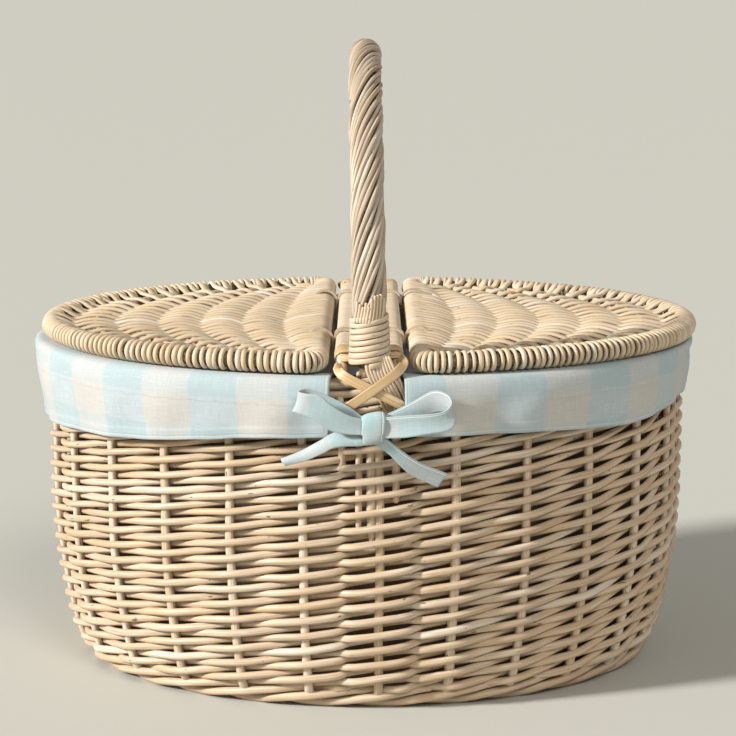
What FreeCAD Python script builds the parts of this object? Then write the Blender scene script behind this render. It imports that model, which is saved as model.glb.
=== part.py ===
"""Oval willow picnic basket: woven body on stakes, two hinged half lids, a roped bow handle over a
fixed centre bridge, and a cotton liner whose two folded cuffs are tied at the front and the back.

Millimetres. The origin is under the middle of the body, on the surface that it stands on, +X runs
along the long axis of the oval, the front is towards -Y and +Z is up.
"""
import FreeCAD, Part
import math
import os

import Sketcher

V = FreeCAD.Vector
Rotation = FreeCAD.Rotation
Placement = FreeCAD.Placement
X_AXIS, Y_AXIS, Z_AXIS = V(1, 0, 0), V(0, 1, 0), V(0, 0, 1)

SIZES = [
    # alias, value, what it drives
    ("wall_long", 209, "half length of the wall's mid surface at the rim"),
    ("wall_short", 155, "half width of the wall's mid surface at the rim"),
    ("wall_thick", 10, "weave in front of and behind the stakes"),
    ("weave_low", 12, "level where the wall weave starts, on the foot wale"),
    ("weave_high", 205.5, "level where the wall weave meets the border"),
    ("rim_top", 217.5, "top of the border"),
    ("rim_round", 4, "rounding of the border's edges"),
    ("stake_dia", 5, "upright stakes of the wall"),
    ("stake_count", 26, "stakes round the oval"),
    ("stake_shift", 6.4, "sideways place of the stake beside the front handle leg"),
    ("stake_inset", 44, "how far a stake's butt lies inside the rim's mid oval"),
    ("foot_level", 7.5, "level of the base sticks and of the stake butts"),
    ("bend_radius", 15, "turn of a stake from the base up into the wall"),
    ("lean_angle", 15, "outward lean of the wall just above that turn, degrees"),
    ("belly_radius", 396, "long curve that brings the wall upright"),
    ("channel_gap", 0.05, "radial gap between a rod and the weave that grips it"),
    ("base_inset", 32.3, "edge of the woven base inside the rim's mid oval"),
    ("base_low", 3, "underside of the woven base"),
    ("base_thick", 9, "thickness of the woven base"),
    ("cross_dia", 7, "short sticks that cross the base"),
    ("cross_pitch", 30, "distance between the cross sticks"),
    ("cross_count", 7, "number of cross sticks"),
    ("long_dia", 4.5, "long sticks threaded through the cross sticks"),
    ("long_pitch", 36, "distance between the long sticks"),
    ("long_count", 3, "number of long sticks"),
    ("stick_inset", 48, "ends of the sticks inside the rim's mid oval"),
    ("handle_top", 414.5, "highest point of the roped handle"),
    ("core_dia", 10, "rod at the heart of the handle"),
    ("core_low", 218, "shoulder of the handle rod, on the border"),
    ("tenon_dia", 6, "thinned end of the handle rod, pushed down into the wall"),
    ("tenon_low", 116, "tip of that end"),
    ("rope_dia", 22, "roping round the handle rod"),
    ("leg_dia", 19, "roping pulled in under the whipping"),
    ("whip_dia", 24, "whipping round each leg"),
    ("whip_low", 222.5, "underside of the whipping"),
    ("packer_dia", 5, "packing rod beside each handle leg"),
    ("packer_shift", -6.8, "sideways place of the front packing rod"),
    ("packer_low", 124, "tip of the packing rod"),
    ("packer_high", 217.4, "top of the packing rod"),
    ("bridge_level", 228.5, "middle height of the centre bridge"),
    ("bridge_rod_dia", 7, "bridge side rods, bent down into the wall at both ends"),
    ("bridge_half", 16.4, "side rods out from the middle"),
    ("bridge_bend", 12, "turn of a side rod over the border"),
    ("bridge_low", 150, "tips of the side rods in the wall"),
    ("bridge_inner_half", 5.5, "inner bridge rods out from the middle"),
    ("bridge_reach", 130, "half length of the inner rods and of the skein round the bridge"),
    ("skein_thick", 1.1, "split willow skein"),
    ("band_reach", 142.5, "outer end of the broad bands that close the bridge"),
    ("band_thick", 1.9, "thickness of those bands"),
    ("lid_level", 226.4, "middle height of the closed lids, and of the hinge axes"),
    ("lid_long", 212.5, "half length of the middle line of the lids' hoops"),
    ("lid_short", 159.5, "half width of the middle line of the lids' hoops"),
    ("hinge_offset", 31, "straight bar of each lid, and its hinge axis, from the middle"),
    ("lid_corner", 9, "turn of a hoop into its straight bar"),
    ("hoop_dia", 8, "D-shaped rod of a lid"),
    ("roll_dia", 15, "close binding round that rod"),
    ("panel_gap", 0.5, "binding to woven panel"),
    ("panel_thick", 9, "woven panel of a lid"),
    ("rib_dia", 5, "ribs inside the panel"),
    ("rib_count", 5, "ribs in each lid"),
    ("rib_first", 71, "first rib from the middle of the basket, halfway along it"),
    ("rib_pitch", 28, "distance between the ribs there"),
    ("rib_tight", 66, "bend radius that the ribs tend to, far from the lid's bar"),
    ("rib_bow", 121, "how fast the ribs straighten towards the bar"),
    ("tie_wide", 3, "cane hinge tie, along the hinge axis"),
    ("tie_thick", 1.5, "cane hinge tie, radially"),
    ("tie_gap", 0.05, "running clearance between a tie and the binding that turns in it"),
    ("tie_near", 78, "hinge ties from the middle of the bridge, on the near half"),
    ("tie_far", 84, "hinge ties from the middle of the bridge, on the far half"),
    ("tie_slot", 0.6, "room round a tie in the woven panel"),
    ("cloth", 1, "liner with its seams"),
    ("cloth_gap", 0.3, "air between the liner and the weave"),
    ("cuff_gap", 23, "cuffs end this far from the middle"),
    ("cuff_front", 181, "lower edge of the cuffs beside the handle"),
    ("cuff_sag", 20, "how much lower the cuffs hang at the ends of the oval"),
    ("bow_wide", 17, "width of a bow's knot"),
    ("bow_tall", 19, "height of a bow's knot"),
    ("bow_deep", 9, "depth of a bow's knot"),
    ("bow_level", 187, "middle height of a bow"),
    ("bow_out", 171.5, "back of a bow from the middle of the basket"),
    ("bow_room", 0.3, "gap where a bow's tails tuck in beside its knot and loops"),
]

doc = FreeCAD.newDocument("picnic_basket")
sheet = doc.addObject("Spreadsheet::Sheet", "sizes")
for row, (alias, number, meaning) in enumerate(SIZES, start=1):
    sheet.set("A%d" % row, alias)
    sheet.set("B%d" % row, str(number))
    sheet.set("C%d" % row, meaning)
    sheet.setAlias("B%d" % row, alias)
doc.recompute()

nodes = []          # the objects that are written out, each a sub-part


# ---------------------------------------------------------------- expressions and small helpers
def formula(text):
    """Expression for FreeCAD: @name stands for the sheet's cell of that name."""
    return text.replace("@", "sizes.")


def value(text):
    """Present value of such an expression."""
    return float(sheet.evalExpression(formula(text)))


def add(kind, name, **bound):
    """New document object whose named properties are bound to the sheet."""
    item = doc.addObject(kind, name)
    for prop, text in bound.items():
        item.setExpression(prop, formula(text))
    return item


def place(item, **bound):
    """Bind the coordinates of an object's placement: x, y and z."""
    for axis, text in bound.items():
        item.setExpression("Placement.Base." + axis, formula(text))
    return item


def part(item, name):
    """Give a finished sub-part its name and keep it for writing."""
    item.Label = name
    nodes.append(item)
    return item


def feature(name, shape):
    item = doc.addObject("Part::Feature", name)
    item.Shape = shape
    return item


def cut(name, base, *tools):
    """Boolean difference; several tools are gathered in one compound first."""
    tool = tools[0]
    if len(tools) > 1:
        tool = doc.addObject("Part::Compound", name + "_tools")
        tool.Links = list(tools)
    item = doc.addObject("Part::Cut", name)
    item.Base, item.Tool = base, tool
    return item


def common(name, base, tool):
    item = doc.addObject("Part::Common", name)
    item.Base, item.Tool = base, tool
    return item


def fuse(name, *shapes):
    item = doc.addObject("Part::MultiFuse", name)
    item.Shapes = list(shapes)
    item.Refine = True
    return item


def compound(name, items):
    item = doc.addObject("Part::Compound", name)
    item.Links = list(items)
    return item


def rod(name, radius, length, turn, **centre):
    """Cylinder whose middle is at centre, turned by turn from +Z."""
    item = add("Part::Cylinder", name, Radius=radius, Height=length)
    item.Placement = Placement(V(0, 0, 0), turn)
    along = turn.multVec(Z_AXIS)
    for axis, share in zip("xyz", along):
        text = centre.get(axis, "0")
        item.setExpression("Placement.Base." + axis,
                           formula("(%s) - (%s) * %.6f" % (text, length, share / 2)))
    return item


TO_X = Rotation(Y_AXIS, 90)
TO_Y = Rotation(X_AXIS, -90)
UPRIGHT = Rotation()
HALF_TURN = Placement(V(0, 0, 0), Rotation(Z_AXIS, 180))


def behind(name, front):
    """The same piece at the back: the front one turned half round the basket."""
    shape = front.Shape.copy()
    shape.Placement = HALF_TURN.multiply(shape.Placement)
    return feature(name, shape)


# ---------------------------------------------------------------- ovals
def oval(name, offset, level):
    """Oval line parallel to the rim's, offset outwards from the wall's mid surface."""
    line = add("Part::Ellipse", name, MajorRadius="@wall_long + (%s)" % offset,
               MinorRadius="@wall_short + (%s)" % offset)
    return place(line, z=level)


def oval_prism(name, offset, low, high):
    """Solid oval with upright sides."""
    body = add("Part::Extrusion", name, LengthFwd="(%s) - (%s)" % (high, low))
    body.Base = oval(name + "_line", offset, low)
    body.DirMode = "Custom"
    body.Dir = Z_AXIS
    body.Solid = True
    return body


def oval_loft(name, sections):
    """Solid through a stack of ovals, each given as (offset, level)."""
    loft = doc.addObject("Part::Loft", name)
    loft.Sections = [oval("%s_%d" % (name, i), "%.3f" % offset, "%.3f" % level)
                     for i, (offset, level) in enumerate(sections)]
    loft.Solid = True
    loft.Ruled = True
    return loft


# ---------------------------------------------------------------- shape of the wall
LEAN = math.radians(value("@lean_angle"))
BEND = value("@bend_radius")
BELLY = value("@belly_radius")
BEND_LEVEL = value("@foot_level") + BEND
WAIST = BEND_LEVEL - BEND * math.sin(LEAN) + BELLY * math.sin(LEAN)
BEND_OFFSET = -BELLY * (1 - math.cos(LEAN)) - BEND * math.cos(LEAN)


def wall_offset(level, side=0):
    """Offset of the wall at a level: side is how far out from the stakes' middle the surface is."""
    if level >= WAIST:
        return side
    in_belly = math.sqrt(max((BELLY + side) ** 2 - (WAIST - level) ** 2, 0)) - BELLY
    if level >= BEND_LEVEL - (BEND + side) * math.sin(LEAN):
        return in_belly
    return BEND_OFFSET + math.sqrt(max((BEND + side) ** 2 - (BEND_LEVEL - level) ** 2, 0))


def wall_sections(side, low, high):
    """Ovals of one surface of the wall, closer together where it bends."""
    levels = [14, 16, 19, 24, 31, 41, 54, 72, 94, WAIST]
    levels = [low] + [z for z in levels if low + 1 < z < high - 1] + [high]
    return [(wall_offset(z, side), z) for z in levels]


def stake_angles():
    """Angles of the stakes on the oval's own circle, at equal distances along the rim."""
    long_half, short_half = value("@wall_long"), value("@wall_short")
    count = int(value("@stake_count"))
    steps = 7200
    start = -math.pi / 2 + math.asin(value("@stake_shift") / long_half)
    turn = [start + 2 * math.pi * i / steps for i in range(steps + 1)]
    length = [0.0]
    for here, there in zip(turn, turn[1:]):
        middle = (here + there) / 2
        slope = math.hypot(long_half * math.sin(middle), short_half * math.cos(middle))
        length.append(length[-1] + slope * (there - here))
    angles, i = [], 0
    for number in range(count):
        while length[i] < length[-1] * number / count:
            i += 1
        angles.append(turn[i])
    return angles


def stake(radius, butt):
    """One stake in the XZ plane, with x as the offset from the rim's mid oval."""
    foot = value("@foot_level")
    level_end = V(BEND_OFFSET, 0, foot)
    bend_mid = V(BEND_OFFSET + BEND * math.sin((math.pi / 2 - LEAN) / 2), 0,
                 BEND_LEVEL - BEND * math.cos((math.pi / 2 - LEAN) / 2))
    bend_end = V(BEND_OFFSET + BEND * math.cos(LEAN), 0, BEND_LEVEL - BEND * math.sin(LEAN))
    belly_mid = V(-BELLY * (1 - math.cos(LEAN / 2)), 0, WAIST - BELLY * math.sin(LEAN / 2))
    upright = V(0, 0, WAIST)
    path = Part.Wire([
        Part.LineSegment(V(-butt, 0, foot), level_end).toShape(),
        Part.Arc(level_end, bend_mid, bend_end).toShape(),
        Part.Arc(bend_end, belly_mid, upright).toShape(),
        Part.LineSegment(upright, V(0, 0, value("@weave_high") - 0.1)).toShape(),
    ])
    end = Part.Wire(Part.Circle(V(-butt, 0, foot), X_AXIS, radius).toShape())
    return path.makePipeShell([end], True, False)


def stakes(radius, butt):
    """All the stakes, each stood on the oval and turned to lean outwards."""
    one = stake(radius, butt)
    group = []
    for angle in stake_angles():
        spot = V(value("@wall_long") * math.cos(angle), value("@wall_short") * math.sin(angle), 0)
        copy = one.copy()
        copy.Placement = Placement(spot, Rotation(Z_AXIS, math.degrees(angle)))
        group.append(copy)
    return Part.makeCompound(group)


# ---------------------------------------------------------------- PartDesign helpers
def new_body(name):
    return doc.addObject("PartDesign::Body", name)


def sketch_on(body, name, role, offset="0"):
    """Sketch on one of the body's origin planes, moved along the plane's normal."""
    sketch = body.newObject("Sketcher::SketchObject", name)
    plane = next(item for item in body.Origin.OriginFeatures if item.Role == role)
    sketch.AttachmentSupport = [(plane, "")]
    sketch.MapMode = "FlatFace"
    sketch.setExpression("AttachmentOffset.Base.z", formula(offset))
    return sketch


def drive(sketch, constraint, text):
    """Add a dimension and bind it to the sheet."""
    index = sketch.addConstraint(constraint)
    sketch.setExpression("Constraints[%d]" % index, formula(text))


def circle(sketch, x, y, radius):
    """Circle whose centre and radius follow the sheet."""
    centre = V(value(x), value(y), 0)
    index = sketch.addGeometry(Part.Circle(centre, Z_AXIS, value(radius)))
    drive(sketch, Sketcher.Constraint("Radius", index, value(radius)), radius)
    drive(sketch, Sketcher.Constraint("DistanceX", -1, 1, index, 3, centre.x), x)
    drive(sketch, Sketcher.Constraint("DistanceY", -1, 1, index, 3, centre.y), y)


def pad(body, name, sketch, length):
    item = body.newObject("PartDesign::Pad", name)
    item.Profile = sketch
    item.setExpression("Length", formula(length))
    return item


def arch(sketch, half, low, spring):
    """Upright leg, half circle and upright leg, in a sketch of the YZ plane."""
    reach, foot, rise = value(half), value(low), value(spring)
    left = sketch.addGeometry(Part.LineSegment(V(-reach, foot, 0), V(-reach, rise, 0)))
    bow = Part.ArcOfCircle(Part.Circle(V(0, rise, 0), Z_AXIS, reach), 0, math.pi)
    top = sketch.addGeometry(bow)
    right = sketch.addGeometry(Part.LineSegment(V(reach, rise, 0), V(reach, foot, 0)))
    sketch.addConstraint(Sketcher.Constraint("Tangent", left, 2, top, 2))
    sketch.addConstraint(Sketcher.Constraint("Tangent", top, 1, right, 1))
    sketch.addConstraint(Sketcher.Constraint("Vertical", left))
    sketch.addConstraint(Sketcher.Constraint("Vertical", right))
    drive(sketch, Sketcher.Constraint("Radius", top, reach), half)
    drive(sketch, Sketcher.Constraint("DistanceY", -1, 1, top, 3, rise), spring)
    drive(sketch, Sketcher.Constraint("DistanceX", left, 1, -1, 1, reach), half)
    drive(sketch, Sketcher.Constraint("DistanceY", -1, 1, left, 1, foot), low)
    drive(sketch, Sketcher.Constraint("DistanceY", -1, 1, right, 2, foot), low)


def staple(sketch, half, low, level, bend):
    """Upright, turn, long level run, turn and upright, in a sketch of the YZ plane."""
    reach, foot, top, turn = value(half), value(low), value(level), value(bend)
    up = sketch.addGeometry(Part.LineSegment(V(-reach, foot, 0), V(-reach, top - turn, 0)))
    first = Part.ArcOfCircle(Part.Circle(V(turn - reach, top - turn, 0), Z_AXIS, turn),
                             math.pi / 2, math.pi)
    first = sketch.addGeometry(first)
    run = sketch.addGeometry(Part.LineSegment(V(turn - reach, top, 0), V(reach - turn, top, 0)))
    second = Part.ArcOfCircle(Part.Circle(V(reach - turn, top - turn, 0), Z_AXIS, turn),
                              0, math.pi / 2)
    second = sketch.addGeometry(second)
    down = sketch.addGeometry(Part.LineSegment(V(reach, top - turn, 0), V(reach, foot, 0)))
    for one, one_end, other, other_end in ((up, 2, first, 2), (first, 1, run, 1),
                                           (run, 2, second, 2), (second, 1, down, 1)):
        sketch.addConstraint(Sketcher.Constraint("Tangent", one, one_end, other, other_end))
    sketch.addConstraint(Sketcher.Constraint("Vertical", up))
    sketch.addConstraint(Sketcher.Constraint("Horizontal", run))
    sketch.addConstraint(Sketcher.Constraint("Vertical", down))
    drive(sketch, Sketcher.Constraint("Radius", first, turn), bend)
    drive(sketch, Sketcher.Constraint("Radius", second, turn), bend)
    drive(sketch, Sketcher.Constraint("DistanceX", up, 1, -1, 1, reach), half)
    drive(sketch, Sketcher.Constraint("DistanceX", -1, 1, down, 2, reach), half)
    drive(sketch, Sketcher.Constraint("DistanceY", -1, 1, up, 1, foot), low)
    drive(sketch, Sketcher.Constraint("DistanceY", -1, 1, down, 2, foot), low)
    drive(sketch, Sketcher.Constraint("DistanceY", -1, 1, run, 1, top), level)


def pipe(body, name, profile, path):
    """Sweep a closed sketch along every edge of another."""
    item = body.newObject("PartDesign::AdditivePipe", name)
    item.Profile = profile
    item.Spine = (path, ["Edge%d" % (i + 1) for i in range(len(path.Geometry))])
    return item


# ---------------------------------------------------------------- rods that stand in the wall
ARCH_SPRING = "@handle_top - @rope_dia / 2 - @wall_short"


def handle_core(name, extra):
    """Handle rod: a half-circle bow on two legs, thinned below its shoulders into tenons."""
    body = new_body(name)
    path = sketch_on(body, name + "_path", "YZ_Plane")
    arch(path, "@wall_short", "@core_low", ARCH_SPRING)
    profile = sketch_on(body, name + "_profile", "XY_Plane", "@core_low")
    circle(profile, "0", "-@wall_short", "@core_dia / 2 + %s" % extra)
    doc.recompute()
    pipe(body, name + "_bow", profile, path)
    tenons = sketch_on(body, name + "_tenon_profile", "XY_Plane", "@tenon_low")
    for side in ("", "-"):
        circle(tenons, "0", side + "@wall_short", "@tenon_dia / 2 + %s" % extra)
    pad(body, name + "_tenons", tenons, "@core_low - @tenon_low")
    return body


def bridge_side_rods(name, extra):
    """The two side rods of the bridge, bent down into the wall at the front and the back."""
    bodies = []
    for label, side in (("left", "-"), ("right", "")):
        body = new_body("%s_%s" % (name, label))
        path = sketch_on(body, body.Name + "_path", "YZ_Plane", side + "@bridge_half")
        staple(path, "@wall_short", "@bridge_low", "@bridge_level", "@bridge_bend")
        profile = sketch_on(body, body.Name + "_profile", "XY_Plane", "@bridge_low")
        circle(profile, side + "@bridge_half", "-@wall_short",
               "@bridge_rod_dia / 2 + %s" % extra)
        doc.recompute()
        pipe(body, body.Name + "_sweep", profile, path)
        bodies.append(body)
    return bodies


def packer(name, extra, low):
    """Packing rod wedged beside the front handle leg."""
    item = add("Part::Cylinder", name, Radius="@packer_dia / 2 + %s" % extra,
               Height="@packer_high - (%s)" % low)
    return place(item, x="@packer_shift", y="-@wall_short", z=low)


GAP = "@channel_gap"
core = part(handle_core("handle_core", "0"), "handle_core")
core_channel = handle_core("core_channel", GAP)
side_rods = bridge_side_rods("bridge_side_rod", "0")
side_rod_channels = bridge_side_rods("bridge_side_channel", GAP)
front_packer = part(packer("packer_front", "0", "@packer_low"), "front_packing_rod")
packer_channel = packer("packer_channel", GAP, "@packer_low")
doc.recompute()
part(behind("packer_rear", front_packer), "rear_packing_rod")
packer_channels = [packer_channel, behind("packer_channel_rear", packer_channel)]

stake_radius = value("@stake_dia / 2")
part(feature("stakes", stakes(stake_radius, value("@stake_inset"))), "wall_stakes")
stake_channels = feature("stake_channels",
                         stakes(stake_radius + value(GAP), value("@stake_inset") + 0.5))
leg_channels = [core_channel] + side_rod_channels + packer_channels


# ---------------------------------------------------------------- woven base
def base_sticks(kind, extra, count, pitch, turn):
    """Parallel sticks, each as long as the oval inside the base allows."""
    long_half, short_half = value("@wall_long - @stick_inset"), value("@wall_short - @stick_inset")
    sticks = []
    for i in range(count):
        across = (i - (count - 1) / 2) * value(pitch)
        if turn is TO_X:
            length = 2 * long_half * math.sqrt(1 - (across / short_half) ** 2)
        else:
            length = 2 * short_half * math.sqrt(1 - (across / long_half) ** 2)
        centre = {"y" if turn is TO_X else "x": "%g * %s" % (i - (count - 1) / 2, pitch)}
        sticks.append(rod("%s_%d" % (kind, i + 1), "@%s_dia / 2 + %s" % (kind.split("_")[0], extra),
                          "%.3f" % length, turn, z="@foot_level", **centre))
    return sticks


long_count, cross_count = int(value("@long_count")), int(value("@cross_count"))
long_sticks = compound("long", base_sticks("long", "0", long_count, "@long_pitch", TO_X))
long_channels = base_sticks("long_channel", GAP, long_count, "@long_pitch", TO_X)
cross_raw = compound("cross_raw", base_sticks("cross", "0", cross_count, "@cross_pitch", TO_Y))
cross_channels = base_sticks("cross_channel", GAP, cross_count, "@cross_pitch", TO_Y)
part(long_sticks, "base_long_sticks")
part(cut("cross", cross_raw, *long_channels), "base_cross_sticks")

base_plate = oval_prism("base_plate", "-@base_inset", "@base_low", "@base_low + @base_thick")
part(cut("base", base_plate, stake_channels, *(long_channels + cross_channels)), "base_weave")

foot_outline = [(-25, 0), (-19.5, 3), (-14.8, 7), (wall_offset(12, 5.2), 12)]
foot_blank = oval_loft("foot_blank", foot_outline)
foot_bore = oval_prism("foot_bore", "0.1 - @base_inset", "-1", "@weave_low + 1")
part(cut("foot", foot_blank, foot_bore, stake_channels), "foot_wale")

# ---------------------------------------------------------------- woven wall and border
half_wall = value("@wall_thick / 2")
weave_low, weave_high = value("@weave_low"), value("@weave_high")
wall_outer = oval_loft("wall_outer", wall_sections(half_wall, weave_low, weave_high))
wall_inner = oval_loft("wall_inner", wall_sections(-half_wall, weave_low - 1, weave_high + 1))
wall_shell = cut("wall_shell", wall_outer, wall_inner)
part(cut("wall", wall_shell, stake_channels, *leg_channels), "wall_weave")

rim_outer = oval_prism("rim_outer", "@wall_thick / 2", "@weave_high", "@rim_top")
rim_inner = oval_prism("rim_inner", "-@wall_thick / 2", "@weave_high - 1", "@rim_top + 1")
rim_ring = cut("rim_ring", rim_outer, rim_inner)
doc.recompute()
rim_soft = doc.addObject("Part::Fillet", "rim_soft")
rim_soft.Base = rim_ring
rim_soft.Edges = [(i + 1, value("@rim_round"), value("@rim_round"))
                  for i, edge in enumerate(rim_ring.Shape.Edges)
                  if edge.BoundBox.ZLength < 0.01 and edge.BoundBox.ZMax > value("@rim_top") - 0.01]
part(cut("rim", rim_soft, *leg_channels), "rim_border")


# ---------------------------------------------------------------- handle dressing
roping = new_body("roping")
rope_path = sketch_on(roping, "rope_path", "YZ_Plane")
arch(rope_path, "@wall_short", "(%s) - 0.5" % ARCH_SPRING, ARCH_SPRING)
rope_profile = sketch_on(roping, "rope_profile", "XY_Plane", "(%s) - 0.5" % ARCH_SPRING)
for radius in ("@rope_dia / 2", "@core_dia / 2 + " + GAP):
    circle(rope_profile, "0", "-@wall_short", radius)
doc.recompute()
pipe(roping, "rope_bow", rope_profile, rope_path)
for label, side in (("front", "-"), ("rear", "")):
    leg = sketch_on(roping, "rope_leg_" + label, "XY_Plane", "@core_low")
    for radius in ("@leg_dia / 2", "@core_dia / 2 + " + GAP):
        circle(leg, "0", side + "@wall_short", radius)
    pad(roping, "rope_leg_pad_" + label, leg, "(%s) - @core_low" % ARCH_SPRING)
part(roping, "handle_roping")

for label, side in (("front", "-"), ("rear", "")):
    whipping = new_body("whipping_" + label)
    ring = sketch_on(whipping, "whipping_ring_" + label, "XY_Plane", "@whip_low")
    for radius in ("@whip_dia / 2", "@leg_dia / 2 + " + GAP):
        circle(ring, "0", side + "@wall_short", radius)
    pad(whipping, "whipping_pad_" + label, ring, "(%s) - 0.6 - @whip_low" % ARCH_SPRING)
    part(whipping, label + "_whipping")


def crossed_straps(name):
    """Two flat straps crossed over the front of the border, under the handle leg."""
    straps = []
    for i, lean in enumerate((-32, 32)):
        strap = add("Part::Box", "%s_%d" % (name, i), Length="46", Width="@skein_thick", Height="7")
        turn = Rotation(Y_AXIS, lean)
        start = turn.multVec(V(-23, 0, -3.5))
        out = value("@wall_short + @wall_thick / 2") + 0.6 + (i + 1) * (value("@skein_thick") + 0.1)
        strap.Placement = Placement(V(start.x, -out, start.z + 208), turn)
        straps.append(strap)
    return compound(name, straps)


front_cross = part(crossed_straps("straps"), "front_cross_binding")
doc.recompute()
part(behind("straps_rear", front_cross), "rear_cross_binding")


# ---------------------------------------------------------------- bridge
def stadium(name, radius, low, high):
    """Flat bar with round sides, along Y between two stations, at the bridge's level."""
    middle, length = "((%s) + (%s)) / 2" % (low, high), "(%s) - (%s)" % (high, low)
    slab = add("Part::Box", name + "_slab", Length="2 * @bridge_half", Width=length,
               Height="2 * (%s)" % radius)
    place(slab, x="-@bridge_half", y=low, z="@bridge_level - (%s)" % radius)
    sides = [rod("%s_side_%d" % (name, i), radius, length, TO_Y,
                 x=side + "@bridge_half", y=middle, z="@bridge_level")
             for i, side in enumerate(("-", ""))]
    return fuse(name, slab, *sides)


def sleeve(name, inner, outer, low, high):
    """Hollow stadium: a skin of skein round the bridge's rods."""
    bore = stadium(name + "_bore", inner, "(%s) - 1" % low, "(%s) + 1" % high)
    return cut(name, stadium(name + "_solid", outer, low, high), bore)


inner_rods = [rod("bridge_inner_%d" % i, "@bridge_rod_dia / 2", "2 * @bridge_reach", TO_Y,
                  x=side + "@bridge_inner_half", z="@bridge_level")
              for i, side in enumerate(("-", ""))]
part(compound("bridge_sides", side_rods), "bridge_side_rods")
part(compound("bridge_inners", inner_rods), "bridge_inner_rods")
SKIN_IN = "@bridge_rod_dia / 2 + " + GAP
SKIN_OUT = SKIN_IN + " + @skein_thick"
part(sleeve("bridge_skin", SKIN_IN, SKIN_OUT, "-@bridge_reach", "@bridge_reach"), "bridge_wrap")
BAND_OUT = SKIN_IN + " + @band_thick"
end_bands = [sleeve("band_front", SKIN_IN, BAND_OUT, "-@band_reach", "-@bridge_reach - 0.1"),
             sleeve("band_rear", SKIN_IN, BAND_OUT, "@bridge_reach + 0.1", "@band_reach")]
part(compound("bands", end_bands), "bridge_end_bands")

# ---------------------------------------------------------------- hinge ties
RING_IN = "@roll_dia / 2 + @tie_gap"


def hinge_tie(name, side, station):
    """Cane tie: a loop round the bridge joined to a ring in which the lid's edge turns."""
    low, high = "(%s) - @tie_wide / 2" % station, "(%s) + @tie_wide / 2" % station
    loop = sleeve(name + "_loop", SKIN_OUT + " + " + GAP, SKIN_OUT + " + @tie_thick", low, high)
    where = {"x": side + "@hinge_offset", "y": station, "z": "@lid_level"}
    ring = rod(name + "_ring", RING_IN + " + @tie_thick", "@tie_wide", TO_Y, **where)
    bore = rod(name + "_bore", RING_IN, "@tie_wide + 2", TO_Y, **where)
    blank = fuse(name + "_blank", loop, ring)
    return cut(name, blank, bore)


for label, side, stations in (("left", "-", (("front", "-@tie_far"), ("rear", "@tie_near"))),
                              ("right", "", (("front", "-@tie_near"), ("rear", "@tie_far")))):
    for end, station in stations:
        name = "%s_hinge_tie_%s" % (label, end)
        part(hinge_tie("tie_%s_%s" % (label, end), side, station), name)


# ---------------------------------------------------------------- lids
def lid_outline(inset):
    """Closed D line in the plane of the left lid: half an oval rounded into a straight bar."""
    long_half = value("@lid_long") - inset
    short_half = value("@lid_short") - inset
    bar = value("@hinge_offset") + inset
    corner = max(value("@lid_corner") - inset, 1)
    start = math.acos(-bar / long_half)
    hoop = Part.ArcOfEllipse(Part.Ellipse(V(0, 0, 0), long_half, short_half),
                             start, 2 * math.pi - start).toShape()
    ends = [vertex.Point for vertex in hoop.Vertexes]
    blank = Part.Face(Part.Wire([hoop, Part.makeLine(ends[1], ends[0])])).extrude(Z_AXIS)
    upright = [edge for edge in blank.Edges if edge.BoundBox.ZLength > 0.5]
    rounded = blank.makeFillet(corner, upright)
    floor = min(rounded.Faces, key=lambda face: face.CenterOfMass.z)
    wire = floor.OuterWire
    wire.translate(V(0, 0, value("@lid_level")))
    return wire


def hoop(name, path, radius):
    """Round rod along the D line."""
    end = add("Part::Circle", name + "_end", Radius=radius)
    end.Placement = Placement(V(0, 0, 0), Rotation(X_AXIS, 90))
    place(end, x="-@hinge_offset", z="@lid_level")
    sweep = doc.addObject("Part::Sweep", name)
    sweep.Sections = [end]
    sweep.Spine = (path, ["Edge%d" % (i + 1) for i in range(len(path.Shape.Edges))])
    sweep.Solid = True
    sweep.Frenet = False
    return sweep


def rib_turn(spot, radius, long_half, short_half):
    """Half the turn of a bowed rib, from its middle to where it meets the panel's outline."""
    low, high = 0.0, math.pi / 2
    for _ in range(40):
        turn = (low + high) / 2
        x = spot - radius * (1 - math.cos(turn))
        y = radius * math.sin(turn)
        if math.hypot(x / long_half, y / short_half) < 1:
            low = turn
        else:
            high = turn
    return math.degrees(low)


def lid_ribs(name, extra, reach):
    """Bowed ribs from front to back in the left lid, reach short of or past the panel's edge."""
    inset = value("@roll_dia / 2 + @panel_gap") - reach
    ribs = []
    for i in range(int(value("@rib_count"))):
        spot = "(@rib_first + %d * @rib_pitch)" % i
        radius = "(@rib_tight + @rib_bow ^ 2 / (%s - @hinge_offset))" % spot
        turn = rib_turn(value("@rib_first") + i * value("@rib_pitch"), rib_radius(i),
                        value("@lid_long") - inset, value("@lid_short") - inset)
        rib = add("Part::Torus", "%s_%d" % (name, i + 1), Radius1=radius,
                  Radius2="@rib_dia / 2 + %s" % extra, Angle3="%.3f" % (2 * turn))
        rib.Placement = Placement(V(0, 0, 0), Rotation(Z_AXIS, 180 - turn))
        place(rib, x="%s - %s" % (radius, spot), z="@lid_level")
        ribs.append(rib)
    return ribs


def rib_radius(i):
    """Bend radius of a rib: nearly straight beside the bar, tighter towards the tip of the lid."""
    offset = value("@rib_first + %d * @rib_pitch - @hinge_offset" % i)
    return value("@rib_tight") + value("@rib_bow") ** 2 / offset


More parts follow.
